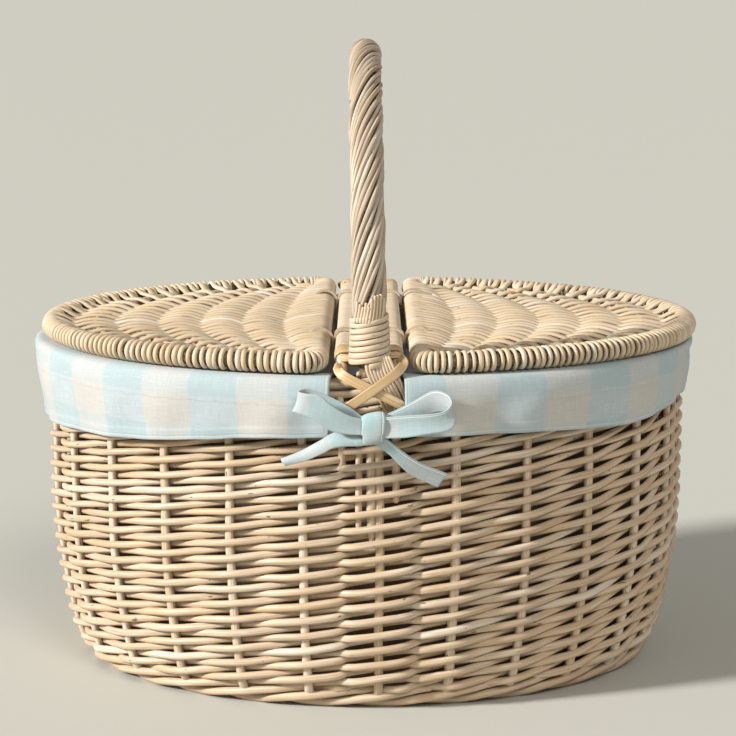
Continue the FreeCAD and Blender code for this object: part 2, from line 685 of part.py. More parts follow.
hoop_path = feature("hoop_path", lid_outline(0))
panel_path = feature("panel_path", lid_outline(value("@roll_dia / 2 + @panel_gap")))
left_frame = hoop("lid_hoop", hoop_path, "@hoop_dia / 2")
hoop_channel = hoop("lid_hoop_channel", hoop_path, "@hoop_dia / 2 + " + GAP)
roll_blank = hoop("lid_roll_blank", hoop_path, "@roll_dia / 2")
left_binding = cut("lid_roll", roll_blank, hoop_channel)
left_ribs = compound("lid_ribs", lid_ribs("lid_rib", "0", -2))
panel = add("Part::Extrusion", "lid_panel", LengthFwd="@panel_thick / 2", LengthRev="@panel_thick / 2")
panel.Base = panel_path
panel.DirMode = "Custom"
panel.Dir = Z_AXIS
panel.Solid = True
tie_slots = [rod("tie_slot_%d" % i, RING_IN + " + @tie_thick + @tie_slot",
                 "@tie_wide + 2 * @tie_slot", TO_Y, x="-@hinge_offset", y=station, z="@lid_level")
             for i, station in enumerate(("-@tie_far", "@tie_near"))]
left_panel = cut("lid_weave", panel, *(lid_ribs("rib_channel", GAP, 2) + tie_slots))
doc.recompute()

for kind, item in (("hoop", left_frame), ("binding", left_binding), ("ribs", left_ribs),
                   ("weave", left_panel)):
    part(item, "left_lid_" + kind)
    part(behind("right_" + item.Name, item), "right_lid_" + kind)

# ---------------------------------------------------------------- liner
cloth = value("@cloth")
bag_side = -half_wall - value("@cloth_gap")
bag_floor = value("@base_low + @base_thick") + 0.1
bag_top = value("@rim_top")
bag_outer = oval_loft("bag_outer", wall_sections(bag_side, bag_floor, bag_top))
bag_inner = oval_loft("bag_inner", wall_sections(bag_side - cloth, bag_floor + cloth, bag_top + 1))
part(cut("bag", bag_outer, bag_inner), "liner_bag")

CUFF = [(7.0, 148), (9.4, 172), (12.6, 192), (15.0, 206), (14.4, 213), (10.5, bag_top + 1)]
cuff_outer = oval_loft("cuff_outer", CUFF)
cuff_inner = oval_loft("cuff_inner", [(offset - cloth, level - cloth) for offset, level in CUFF])
cuff_mouth = oval_prism("cuff_mouth", "%.3f" % (bag_side - cloth), "@rim_top - 5", "@rim_top + 5")
hem_radius = value("(@wall_long ^ 2 + @cuff_sag ^ 2) / (2 * @cuff_sag)")
hem_line = rod("hem_line", "%.3f" % hem_radius, "500", TO_Y, z="@cuff_front - %.3f" % hem_radius)
cuff_ring = cut("cuff_ring", cuff_outer, cuff_inner, cuff_mouth, hem_line)
left_half = add("Part::Box", "left_half", Length="300 - @cuff_gap", Width="500", Height="200")
left_half.Placement = Placement(V(-300, -250, 100), Rotation())
left_cuff = part(common("cuff_left", cuff_ring, left_half), "left_cuff")
doc.recompute()
part(behind("cuff_right", left_cuff), "right_cuff")


# ---------------------------------------------------------------- bows
def soft_box(name, length, width, height, centre, lean, extra=0):
    """Rounded block for a knot, a loop or a ribbon end, leaning in the plane of the front."""
    length, width, height = length + 2 * extra, width + 2 * extra, height + 2 * extra
    block = Part.makeBox(length, width, height, V(-length / 2, -width / 2, -height / 2))
    block = block.makeFillet(min(length, width, height) * 0.3, block.Edges)
    block.Placement = Placement(centre, Rotation(Y_AXIS, lean))
    return feature(name, block)


def bow_body(name, extra):
    """Knot and both loops of a bow."""
    mid, level = -value("@bow_out + @bow_deep / 2"), value("@bow_level")
    knot = soft_box(name + "_knot", value("@bow_wide"), value("@bow_deep"), value("@bow_tall"),
                    V(0, mid, level), 0, extra)
    loops = [soft_box(name + "_loop_left", 34, 7, 20, V(-26, mid, level + 13), 24, extra),
             soft_box(name + "_loop_right", 36, 7, 18, V(28, mid, level + 11), -20, extra)]
    return knot, loops


knot, loop_pair = bow_body("bow", 0)
knot_room, loop_room = bow_body("bow_room", value("@bow_room"))
loops = compound("bow_loops", loop_pair)
tail_mid, tail_level = -value("@bow_out + @bow_deep / 2"), value("@bow_level")
tail_blanks = compound("tail_blanks", [
    soft_box("bow_tail_left", 48, 2, 14, V(-31, tail_mid, tail_level - 12.5), -22),
    soft_box("bow_tail_right", 46, 2, 14, V(26, tail_mid, tail_level - 20), 38)])
tails = cut("bow_tails", tail_blanks, knot_room, *loop_room)
doc.recompute()
for kind, item in (("knot", knot), ("loops", loops), ("tails", tails)):
    part(item, "front_bow_" + kind)
    part(behind("rear_" + item.Name, item), "rear_bow_" + kind)

# ---------------------------------------------------------------- check and write
doc.recompute()
failed = [item.Name for item in doc.Objects if {"Invalid", "Error"} & set(item.State)]
failed += [item.Label for item in nodes if item.Shape.isNull() or not item.Shape.isValid()]
if failed:
    raise RuntimeError("failed: " + ", ".join(failed))

os.makedirs("parts", exist_ok=True)
for item in nodes:
    item.Shape.exportStep("parts/%s.step" % item.Label)
    print("%-24s %3d solids %10.0f mm3" % (item.Label, len(item.Shape.Solids), item.Shape.Volume))
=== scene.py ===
"""Looks of the willow picnic basket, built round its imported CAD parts.

Lengths are in millimetres until a mesh is made. The meshes are in metres, in the frame of the CAD
parts: the origin is under the middle of the body, the front is towards -Y and +Z is up.
"""
import math

import bpy
import numpy as np
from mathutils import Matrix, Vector


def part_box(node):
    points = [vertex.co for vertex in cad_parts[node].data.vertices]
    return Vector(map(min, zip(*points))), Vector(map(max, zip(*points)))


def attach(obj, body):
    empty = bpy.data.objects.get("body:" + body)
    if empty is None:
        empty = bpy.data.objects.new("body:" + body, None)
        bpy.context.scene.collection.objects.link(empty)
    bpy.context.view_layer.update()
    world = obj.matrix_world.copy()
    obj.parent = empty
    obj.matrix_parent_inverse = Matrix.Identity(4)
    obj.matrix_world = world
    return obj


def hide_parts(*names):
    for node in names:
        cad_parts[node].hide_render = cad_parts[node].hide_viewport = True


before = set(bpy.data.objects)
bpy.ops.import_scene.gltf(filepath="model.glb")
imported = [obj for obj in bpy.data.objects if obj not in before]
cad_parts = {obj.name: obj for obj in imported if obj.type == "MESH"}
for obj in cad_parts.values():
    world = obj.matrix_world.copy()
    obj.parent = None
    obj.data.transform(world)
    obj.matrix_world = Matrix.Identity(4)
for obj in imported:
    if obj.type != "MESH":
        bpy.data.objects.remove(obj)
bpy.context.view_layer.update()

MM = 0.001
PI = math.pi
rng = np.random.default_rng(58)

# -------------------- sizes that follow the CAD parts
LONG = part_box("rim_border")[1].x / MM - 5       # mid surface of the wall at the rim, half length
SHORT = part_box("rim_border")[1].y / MM - 5      # and half width
LEAN = math.radians(15)
BEND = 15.0
BELLY = 396.0
BEND_LEVEL = 22.5
WAIST = BEND_LEVEL + (BELLY - BEND) * math.sin(LEAN)
BEND_OFFSET = -BELLY * (1 - math.cos(LEAN)) - BEND * math.cos(LEAN)
FOOT_LEVEL = 7.5
WALL_SHIFT = -2.4                # the wall stands a little to the left under the lids

STAKES = 26
STAKE_SHIFT = 8.8                # the first stake stands this far to the right of the wall's middle
STAKE_SPREAD = 6.0               # the stakes stand wider apart at the front and back
STAKE_THICK = 5.1
STAKE_BUTT = -44.0               # offset at which a stake starts, under the base
WEAVERS = 34
ROW = 5.02                       # height of one row of weaving
RISE = ROW * WEAVERS / STAKES    # climb of a weaver from one stake to the next
WEAVE_SWING, LEG_SWING = 3.45, 4.5      # how far a weaver swings off the stakes, and near the legs
WEAVE_LOW = 13.5
WEAVE_HIGH = 205.0

LID_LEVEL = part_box("left_lid_hoop")[0].z / MM + 4
LID_LONG, LID_SHORT = 212.5, 159.5
HINGE = 31.0
LID_CORNER = 9.0
HOOP_RADIUS = 4.0
BAR_WRAP, HOOP_WRAP = HOOP_RADIUS + 1.45, HOOP_RADIUS + 1.5     # middle of a rod wound round them
LID_RODS = 56
LID_SWING = 2.7                  # how far a panel rod swings over and under the ribs
RIB_FIRST, RIB_PITCH, RIBS = 71.0, 28.0, 5
RIB_TIGHT, RIB_BOW = 66.0, 121.0
RIB_THICK = 5.0
TIES_LEFT = (-84.0, 78.0)        # hinge ties along the left lid's bar

BRIDGE_LEVEL = 228.5
BRIDGE_HALF = 16.4
BRIDGE_ROD = 3.5
BRIDGE_BEND = 12.0
ARCH_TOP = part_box("handle_roping")[1].z / MM
ROPE_RADIUS = 11.0
ARCH_SPRING = ARCH_TOP - ROPE_RADIUS - SHORT
CUFF_GAP = 23.0

END = {False: "front", True: "rear"}
SIDE = {False: "left", True: "right"}


# -------------------- small numeric helpers
def smooth(value):
    """Smooth step from 0 to 1."""
    value = np.clip(value, 0, 1)
    return value * value * (3 - 2 * value)


def wander(along, amount, wave):
    """Slow irregular drift along a rod: three waves of random phase."""
    total = np.zeros_like(along, dtype=float)
    for share, scale in ((0.6, 1.0), (0.45, 0.53), (0.3, 0.29)):
        total += share * np.sin(2 * PI * (along / (wave * scale) + rng.random()))
    return amount * total


def unit(vectors):
    return vectors / np.maximum(np.linalg.norm(vectors, axis=-1, keepdims=True), 1e-9)


def xyz(x, y, z):
    """Points from their coordinates, each an array or one number."""
    return np.stack(np.broadcast_arrays(x, y, z), -1)


def run_along(points):
    """Distance along a line, from its start, at each of its points."""
    return np.concatenate([[0], np.cumsum(np.linalg.norm(np.diff(points, axis=0), axis=1))])


def through(points, count):
    """Smooth line through a few points (Catmull-Rom), as count points evenly spaced along it."""
    points = np.asarray(points, float)
    ends = [2 * points[0] - points[1], 2 * points[-1] - points[-2]]
    p = np.vstack([ends[0], points, ends[1]])
    fine = []
    for a, b, c, d in zip(p, p[1:], p[2:], p[3:]):
        for t in np.linspace(0, 1, 24, endpoint=False):
            fine.append(0.5 * (2 * b + (c - a) * t + (2 * a - 5 * b + 4 * c - d) * t ** 2
                               + (3 * b - a - 3 * c + d) * t ** 3))
    fine.append(p[-2])
    fine = np.array(fine)
    run = run_along(fine)
    spots = np.linspace(0, run[-1], count)
    return np.stack([np.interp(spots, run, fine[:, i]) for i in range(fine.shape[1])], axis=1)


def turned(points, half_turn):
    """The same points at the back of the basket, half a turn round."""
    points = np.asarray(points, float)
    return points * [-1, -1, 1] if half_turn else points


# -------------------- shape of the wall
def wall_offset(level, side=0.0):
    """Offset of the wall from the rim's mid oval; side is the distance out from the stakes."""
    level, side = np.broadcast_arrays(np.asarray(level, float), np.asarray(side, float))
    in_belly = np.sqrt(np.maximum((BELLY + side) ** 2 - (WAIST - level) ** 2, 0)) - BELLY
    in_bend = BEND_OFFSET + np.sqrt(np.maximum((BEND + side) ** 2 - (BEND_LEVEL - level) ** 2, 0))
    lower = np.where(level >= BEND_LEVEL - (BEND + side) * math.sin(LEAN), in_belly, in_bend)
    return np.where(level >= WAIST, side, lower)


def oval_point(angle, offset, level):
    x = WALL_SHIFT + (LONG + offset) * np.cos(angle)
    return xyz(x, (SHORT + offset) * np.sin(angle), level)


def on_wall(angle, level, side=0.0):
    return oval_point(angle, wall_offset(level, side), level)


def outward(angle):
    return unit(xyz(np.cos(angle) / LONG, np.sin(angle) / SHORT, 0))


RIM_TURN = -PI / 2 + math.asin(STAKE_SHIFT / LONG) + np.linspace(0, 2 * PI, 7201)
RIM_RUN = run_along(np.column_stack([LONG * np.cos(RIM_TURN), SHORT * np.sin(RIM_TURN)]))


def angle_at(stake):
    """Angle on the oval at a place counted in stakes from the one beside the front leg."""
    stake = np.asarray(stake, float)
    rounds = np.floor(stake / STAKES)
    run = (stake / STAKES - rounds) * RIM_RUN[-1] + STAKE_SPREAD * np.sin(4 * PI * stake / STAKES)
    part = np.interp(run, RIM_RUN, RIM_TURN)
    return part + 2 * PI * rounds


# -------------------- meshes
def smooth_mesh(name, points, faces):
    mesh = bpy.data.meshes.new(name)
    mesh.from_pydata((points * MM).tolist(), [], faces)
    mesh.polygons.foreach_set("use_smooth", np.ones(len(mesh.polygons), bool))
    return mesh


def attribute(mesh, name, kind, values):
    """Store a value or a vector for each point of a mesh."""
    layer = mesh.attributes.new(name, kind, "POINT")
    key = "vector" if kind == "FLOAT_VECTOR" else "value"
    layer.data.foreach_set(key, values.astype(np.float32).ravel())


class Rods:
    """Swept rods gathered in one mesh, with the grain's direction and a tone for each rod.

    With half_turn, rods drawn for the front or the left go to the back or the right.
    """

    def __init__(self, half_turn=False):
        self.half_turn = half_turn
        self.points, self.grain, self.tone, self.faces = [], [], [], []
        self.count = 0

    def add(self, path, across, wide, thick=None, sides=8, tone=None, tip=0.5, closed=False, flat=1.0):
        """Rod along path: wide along the direction across, and thick at right angles to it.

        flat below 1 squares the section, from round rod towards flat skein.
        """
        path, across = turned(path, self.half_turn), turned(across, self.half_turn)
        wide = np.broadcast_to(np.asarray(wide, float), len(path)).copy()
        thick = wide.copy() if thick is None else np.broadcast_to(thick, len(path)).astype(float)
        across = np.broadcast_to(across, path.shape)
        if closed:
            ahead = unit(np.roll(path, -1, 0) - np.roll(path, 1, 0))
        else:
            ahead = unit(np.gradient(path, axis=0))
            reach = 0.3 * thick[0], 0.3 * thick[-1]
            path = np.vstack([path[0] - ahead[0] * reach[0], path, path[-1] + ahead[-1] * reach[1]])
            ahead = np.vstack([ahead[:1], ahead, ahead[-1:]])
            across = np.vstack([across[:1], across, across[-1:]])
            wide = np.concatenate([[wide[0] * tip], wide, [wide[-1] * tip]])
            thick = np.concatenate([[thick[0] * tip], thick, [thick[-1] * tip]])
        side = unit(across - (across * ahead).sum(1, keepdims=True) * ahead)
        normal = np.cross(ahead, side)
        angle = 2 * PI * (np.arange(sides) + 0.5) / sides
        u = np.sign(np.cos(angle)) * np.abs(np.cos(angle)) ** flat / 2
        v = np.sign(np.sin(angle)) * np.abs(np.sin(angle)) ** flat / 2
        flat_u, flat_v = wide[:, None] * u, thick[:, None] * v
        ring = path[:, None] + side[:, None] * flat_u[..., None] + normal[:, None] * flat_v[..., None]
        run = np.repeat((run_along(path) + rng.uniform(0, 9000))[:, None], sides, 1)
        shift = rng.uniform(0, 900, 2)
        self.grain.append(np.stack([run, flat_u + shift[0], flat_v + shift[1]], -1).reshape(-1, 3))
        self.points.append(ring.reshape(-1, 3))
        tone = rng.beta(2.4, 2.4) if tone is None else tone
        self.tone.append(np.full(len(path) * sides, tone))
        start, rings = self.count, len(path)
        i, j = np.meshgrid(np.arange(rings if closed else rings - 1), np.arange(sides), indexing="ij")
        here, there = start + i * sides, start + ((i + 1) % rings) * sides
        nxt = (j + 1) % sides
        quads = np.stack([here + j, here + nxt, there + nxt, there + j], -1).reshape(-1, 4)
        self.faces += quads.tolist()
        if not closed:
            self.faces.append(list(range(start + sides - 1, start - 1, -1)))
            last = start + (rings - 1) * sides
            self.faces.append(list(range(last, last + sides)))
        self.count += rings * sides

    def piece(self, name, material, body="basket", slot="woven_willow", replaces=()):
        mesh = smooth_mesh(name, np.vstack(self.points), self.faces)
        attribute(mesh, "grain", "FLOAT_VECTOR", np.vstack(self.grain) * MM)
        attribute(mesh, "tone", "FLOAT", np.concatenate(self.tone))
        settle(name, mesh, material, body, replaces)


def settle(name, mesh, material, body, replaces=()):
    """Link a finished mesh as a piece that rides on a body."""
    mesh.materials.append(material)
    mesh.update()
    piece = bpy.data.objects.new(name, mesh)
    bpy.context.scene.collection.objects.link(piece)
    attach(piece, body)
    if replaces:
        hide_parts(*replaces)
    return piece


def cloth(name, grid, uv, edge, material, thick, replaces=(), closed=False):
    """Sheet from a grid of points, with UVs in metres and the distance to its nearest hem."""
    rows, columns = grid.shape[:2]
    span = columns if closed else columns - 1
    i, j = np.meshgrid(np.arange(rows - 1), np.arange(span), indexing="ij")
    nxt = (j + 1) % columns
    quads = np.stack([i * columns + j, i * columns + nxt,
                      (i + 1) * columns + nxt, (i + 1) * columns + j], -1).reshape(-1, 4)
    mesh = smooth_mesh(name, grid.reshape(-1, 3), quads.tolist())
    layer = mesh.uv_layers.new(name="cloth")
    corners = quads.ravel()
    flat = uv.reshape(-1, 2)[corners] * MM
    if closed:
        wrap = np.stack([j == columns - 1] * 4, -1).reshape(-1, 4)
        wrap[:, 0] = wrap[:, 3] = False
        flat[wrap.ravel(), 0] += uv[0, -1, 0] * MM * columns / (columns - 1)
    layer.data.foreach_set("uv", flat.astype(np.float32).ravel())
    attribute(mesh, "edge", "FLOAT", edge)
    piece = settle(name, mesh, material, "basket", replaces)
    solid = piece.modifiers.new("cloth thickness", "SOLIDIFY")
    solid.thickness = thick * MM
    solid.offset = 0
    return piece


# -------------------- materials
class Nodes:
    """A node material under construction."""

    def __init__(self, name):
        self.material = bpy.data.materials.new(name)
        self.material.use_nodes = True
        self.tree = self.material.node_tree
        self.shader = self.tree.nodes["Principled BSDF"]

    def set(self, **values):
        for key, value in values.items():
            self.shader.inputs[key.replace("_", " ")].default_value = value

    def link(self, source, target):
        self.tree.links.new(source, target)

    def attribute(self, name, output="Fac"):
        node = self.tree.nodes.new("ShaderNodeAttribute")
        node.attribute_name = name
        return node.outputs[output]

    def scaled(self, vector, scale):
        node = self.tree.nodes.new("ShaderNodeMapping")
        node.inputs["Scale"].default_value = scale
        self.link(vector, node.inputs["Vector"])
        return node.outputs["Vector"]

    def noise(self, vector, scale, detail=2.0, rough=0.5):
        node = self.tree.nodes.new("ShaderNodeTexNoise")
        node.inputs["Scale"].default_value = 1.0
        node.inputs["Detail"].default_value = detail
        node.inputs["Roughness"].default_value = rough
        self.link(self.scaled(vector, scale), node.inputs["Vector"])
        return node.outputs["Fac"]

    def span(self, value, low, high, to_low=0.0, to_high=1.0):
        """Map a value from one range to another, clamped, with soft ends."""
        node = self.tree.nodes.new("ShaderNodeMapRange")
        node.interpolation_type = "SMOOTHSTEP"
        self.link(value, node.inputs["Value"])
        for key, number in (("From Min", low), ("From Max", high), ("To Min", to_low), ("To Max", to_high)):
            node.inputs[key].default_value = number
        return node.outputs["Result"]

    def math(self, kind, first, second=None):
        node = self.tree.nodes.new("ShaderNodeMath")
        node.operation = kind
        for socket, item in zip(node.inputs, (first, second)):
            if item is None:
                continue
            if isinstance(item, (int, float)):
                socket.default_value = item
            else:
                self.link(item, socket)
        return node.outputs["Value"]

    def mix(self, share, first, second):
        node = self.tree.nodes.new("ShaderNodeMix")
        node.data_type = "RGBA"
        colours = [socket for socket in node.inputs if socket.type == "RGBA"]
        for socket, item in zip([node.inputs["Factor"]] + colours, (share, first, second)):
            if isinstance(item, (int, float)):
                socket.default_value = item
            elif isinstance(item, tuple):
                socket.default_value = item + (1.0,)
            else:
                self.link(item, socket)
        return next(socket for socket in node.outputs if socket.type == "RGBA")

    def bump(self, height, strength, distance):
        node = self.tree.nodes.new("ShaderNodeBump")
        node.inputs["Strength"].default_value = strength
        node.inputs["Distance"].default_value = distance
        self.link(height, node.inputs["Height"])
        return node.outputs["Normal"]


def willow(name, light, dark, warm, knots=0.5, cad_axis=None, rough=0.5):
    """Peeled willow: fibres along the rod, warm blotches, small knots and pale lime in the grain.

    A swept rod brings its own grain coordinates. A CAD rod uses object space, with its fibres
    along X where cad_axis is 0 and along Y where it is 1.
    """
    n = Nodes(name)
    swept = cad_axis is None
    if swept:
        grain = n.attribute("grain", "Vector")
    else:
        grain = n.tree.nodes.new("ShaderNodeTexCoord").outputs["Object"]

    def stretched(lengthwise, crosswise):
        scale = [crosswise] * 3
        scale[cad_axis or 0] = lengthwise
        return tuple(scale)

    fibre = n.noise(grain, stretched(26, 1150), 3.0, 0.62)
    streak = n.noise(grain, stretched(9, 330), 2.0, 0.5)
    blotch = n.noise(grain, stretched(17, 60), 2.0, 0.55)
    speck = n.noise(grain, stretched(150, 420), 1.0, 0.4)
    lime = n.noise(grain, stretched(45, 520), 2.0, 0.6)
    colour = n.mix(n.span(fibre, 0.34, 0.66), dark, light)
    colour = n.mix(n.span(blotch, 0.47, 0.74, 0.0, 0.75), colour, warm)
    colour = n.mix(n.span(streak, 0.52, 0.72, 0.0, 0.4), colour, tuple(c * 0.72 for c in dark))
    colour = n.mix(n.span(lime, 0.54, 0.70, 0.0, 0.42), colour, (0.80, 0.735, 0.64))
    if swept:
        tone = n.attribute("tone")
        shade = n.span(tone, 0.0, 1.0)
        colour = n.mix(n.math("MULTIPLY", n.math("SUBTRACT", 1.0, shade), 0.34), colour, warm)
        colour = n.mix(n.span(tone, 0.55, 1.0, 0.0, 0.35), colour, (0.83, 0.77, 0.67))
    knot = n.span(speck, 0.755 - 0.02 * knots, 0.80 - 0.02 * knots)
    colour = n.mix(n.math("MULTIPLY", knot, 0.85), colour, (0.13, 0.065, 0.03))
    n.link(colour, n.shader.inputs["Base Color"])
    n.link(n.span(fibre, 0.3, 0.7, rough + 0.10, rough - 0.06), n.shader.inputs["Roughness"])
    height = n.math("ADD", n.math("MULTIPLY", fibre, 0.6), n.math("MULTIPLY", streak, 0.8))
    height = n.math("SUBTRACT", height, n.math("MULTIPLY", knot, 0.5))
    n.link(n.bump(height, 0.55, 0.00035), n.shader.inputs["Normal"])
    n.set(Specular_IOR_Level=0.42)
    return n.material


CHECK_ALONG, CHECK_DOWN = 0.0628, 0.0520     # an aqua and an ivory stripe together, in metres


def gingham(name, shift_u=0.0, shift_v=0.0, ribbon=False):
    """Aqua and ivory gingham cotton with a linen-like plain weave and a stitched hem, with painted shade in
    the groove beside the stitching.
    """
    n = Nodes(name)
    node = n.tree.nodes.new("ShaderNodeUVMap")
    node.uv_map = "cloth"
    uv = node.outputs["UV"]
    parts = n.tree.nodes.new("ShaderNodeSeparateXYZ")
    n.link(uv, parts.inputs["Vector"])
    fray = n.math("MULTIPLY", n.math("SUBTRACT", n.noise(uv, (900, 900, 1), 1.0), 0.5), 0.0012)

    def stripes(value, shift, period):
        moved = n.math("ADD", n.math("SUBTRACT", value, shift), fray)
        share = n.math("FRACT", n.math("DIVIDE", moved, period))
        tooth = n.math("ABSOLUTE", n.math("SUBTRACT", share, 0.5))
        return n.span(tooth, 0.238, 0.262)

    warp = stripes(parts.outputs["X"], shift_u, CHECK_ALONG)
    weft = stripes(parts.outputs["Y"], shift_v, CHECK_DOWN)
    both = n.math("ADD", warp, n.math("MULTIPLY", weft, 0.5))
    ivory, aqua, deep = (0.565, 0.545, 0.50), (0.475, 0.545, 0.57), (0.355, 0.485, 0.50)
    if ribbon:
        ivory, aqua, deep = (0.47, 0.52, 0.53), (0.42, 0.545, 0.555), (0.32, 0.525, 0.52)
    colour = n.mix(n.span(both, 0.0, 1.0), ivory, aqua)
    colour = n.mix(n.span(both, 1.0, 2.0), colour, deep)
    slub_u = n.noise(uv, (70, 2100, 1), 2.0, 0.6)
    slub_v = n.noise(uv, (2100, 70, 1), 2.0, 0.6)
    slub = n.math("ADD", slub_u, slub_v)
    colour = n.mix(n.span(slub, 0.80, 1.22, 0.0, 0.20), colour, (0.34, 0.38, 0.38))
    colour = n.mix(n.span(slub, 0.98, 0.72, 0.0, 0.20), colour, (0.80, 0.80, 0.79))

    def threads(axis, count):
        wave = n.math("SINE", n.math("MULTIPLY", parts.outputs[axis], count))
        return n.math("MULTIPLY", wave, 0.5)

    pitch = 2 * PI / 0.00075
    weave = n.math("MULTIPLY", threads("X", pitch), threads("Y", pitch))
    edge = n.attribute("edge")
    off = n.math("ABSOLUTE", n.math("SUBTRACT", edge, 1.2 if ribbon else 2.1))
    line = n.span(off, 0.45, 0.2)
    stitch = n.math("MULTIPLY", line, 0.85 if ribbon else 0.3)
    # the groove beside the stitching is sunk in the bump and also darkened in colour as painted shade
    groove_and_shade = n.span(off, 1.2, 0.4) if ribbon else n.span(off, 1.5, 0.0)
    colour = n.mix(n.math("MULTIPLY", groove_and_shade, 0.45 if ribbon else 0.12), colour, (0.26, 0.36, 0.38))
    colour = n.mix(stitch, colour, (0.86, 0.88, 0.87))
    n.link(colour, n.shader.inputs["Base Color"])
    height = n.math("ADD", n.math("MULTIPLY", slub, 0.5), weave)
    height = n.math("ADD", n.math("MULTIPLY", stitch, 0.9), height)
    height = n.math("SUBTRACT", height, groove_and_shade)
    n.link(n.bump(height, 0.5, 0.00035), n.shader.inputs["Normal"])
    n.link(n.span(slub, 0.8, 1.2, 0.86, 0.95), n.shader.inputs["Roughness"])
    n.set(Sheen_Weight=0.25, Sheen_Roughness=0.5, Specular_IOR_Level=0.25)
    return n.material


def backing(name):
    """Plain dark brown cloth for the hidden side of the bag: painted shade for the gaps seen through the
    weave.
    """
    n = Nodes(name)
    cloth_uv = n.tree.nodes.new("ShaderNodeUVMap")
    cloth_uv.uv_map = "cloth"
    slub = n.noise(cloth_uv.outputs["UV"], (300, 300, 1), 2.0, 0.6)
    n.link(n.mix(slub, (0.11, 0.08, 0.055), (0.17, 0.125, 0.09)), n.shader.inputs["Base Color"])
    n.set(Roughness=0.95, Specular_IOR_Level=0.2)
    return n.material


# light, dark and warm tone of each willow
ROD_TONES = (0.66, 0.53, 0.38), (0.50, 0.37, 0.24), (0.56, 0.40, 0.23)
WALL_WILLOW = willow("willow of the wall",
                     (0.70, 0.575, 0.43), (0.48, 0.35, 0.225), (0.58, 0.405, 0.235), rough=0.44)
LID_WILLOW = willow("willow of the lids",
                    (0.72, 0.60, 0.45), (0.55, 0.43, 0.29), (0.62, 0.46, 0.27), knots=0.3)
BINDING_WILLOW = willow("willow of the bindings",
                        (0.74, 0.62, 0.47), (0.56, 0.43, 0.29), (0.62, 0.45, 0.28), knots=0.3)
HANDLE_WILLOW = willow("willow of the handle",
                       (0.64, 0.54, 0.42), (0.30, 0.22, 0.145), (0.42, 0.30, 0.19), knots=0.4)
TAN_SKEIN = willow("tan skein",
                   (0.66, 0.49, 0.28), (0.53, 0.36, 0.18), (0.58, 0.385, 0.175), knots=0.2, rough=0.42)
CANE = willow("pale cane",
              (0.68, 0.56, 0.41), (0.54, 0.42, 0.29), (0.58, 0.44, 0.29), knots=0.0, cad_axis=1)
ROD_Y = willow("rod along the basket's width", *ROD_TONES, cad_axis=1)
ROD_X = willow("rod along the basket's length", *ROD_TONES, cad_axis=0)
# dark brown rod for the heart rod and the lid hoops: painted shade for the deep gaps between the rods wound
# round them
SHADED_ROD = willow("inner rod darkened as painted shade",
                  (0.24, 0.16, 0.095), (0.16, 0.10, 0.055), (0.20, 0.12, 0.065), cad_axis=1)
GINGHAM = gingham("gingham", shift_u=0.0090, shift_v=0.1721)
RIBBON = gingham("ribbon of the same cloth", shift_u=0.01, shift_v=-0.0130, ribbon=True)
# the dark backing is painted shade behind the weave's gaps
SHADE_BACKING = backing("backing in painted shade")


# -------------------- wall
def uprights():
    rods = Rods()
    level = np.concatenate([np.linspace(FOOT_LEVEL, 40, 14), np.linspace(46, 214, 40)])
    for number in range(STAKES):
        angle = angle_at(float(number))
        bend = wander(level, 0.35, 120)
        side = wander(level, 0.2, 90)
        inside = np.linspace(STAKE_BUTT, BEND_OFFSET - 1, 8)
        butt = oval_point(angle, inside, FOOT_LEVEL)
        tangent = np.array([-math.sin(angle) * LONG, math.cos(angle) * SHORT, 0])
        tangent = tangent / np.linalg.norm(tangent)
        climb = on_wall(angle, level, side + 0.5) + np.outer(bend, tangent)
        path = np.vstack([butt, climb])
        size = STAKE_THICK + rng.uniform(-0.3, 0.3) - 0.5 * np.linspace(0, 1, len(path))
        rods.add(path, tangent, size * 1.24, size, tone=rng.uniform(0.5, 0.95), flat=0.85)
    rods.piece("wall_uprights", WALL_WILLOW, slot="willow_rod", replaces=["wall_stakes"])


def weavers():
    """The rods of the wall: each climbs from stake to stake, in front of one and behind the next."""
    rods = Rods()
    spans = (WEAVE_HIGH - WEAVE_LOW) / RISE
    for number in range(WEAVERS):
        start = number * STAKES / WEAVERS
        place = np.arange(-0.5, spans + 0.4, 1 / 9)
        stake = start + place
        level = WEAVE_LOW + RISE * np.maximum(place, -0.1)
        level = level + wander(place, 0.33, 5.0) + wander(place, 0.2, 1.7)
        swing = np.cos(PI * (stake + number))
        near_leg = np.exp(-(((stake + STAKES / 4) % (STAKES / 2) - STAKES / 4) / 0.62) ** 2)
        straight = WEAVE_SWING * np.arcsin(0.92 * swing) / math.asin(0.92)
        wrapped = LEG_SWING * np.tanh(4.4 * swing)
        side = straight * (1 - near_leg) + wrapped * near_leg + wander(place, 0.2, 2.3)
        lead_in, lead_out = smooth((place + 0.1) / 0.5), smooth((spans + 0.3 - place) / 0.6)
        side = (side + 3.2) * lead_in * lead_out - 3.2
        angle = angle_at(stake)
        butt = rng.uniform(4.7, 5.25)
        size = np.interp(place, [0, spans], [butt, butt - rng.uniform(0.3, 0.9)])
        size = size + wander(place, 0.07, 3.1)
        rods.add(on_wall(angle, level, side), (0, 0, 1), size, size * 0.9)
    rods.piece("wall_weavers", WALL_WILLOW, replaces=["wall_weave"])


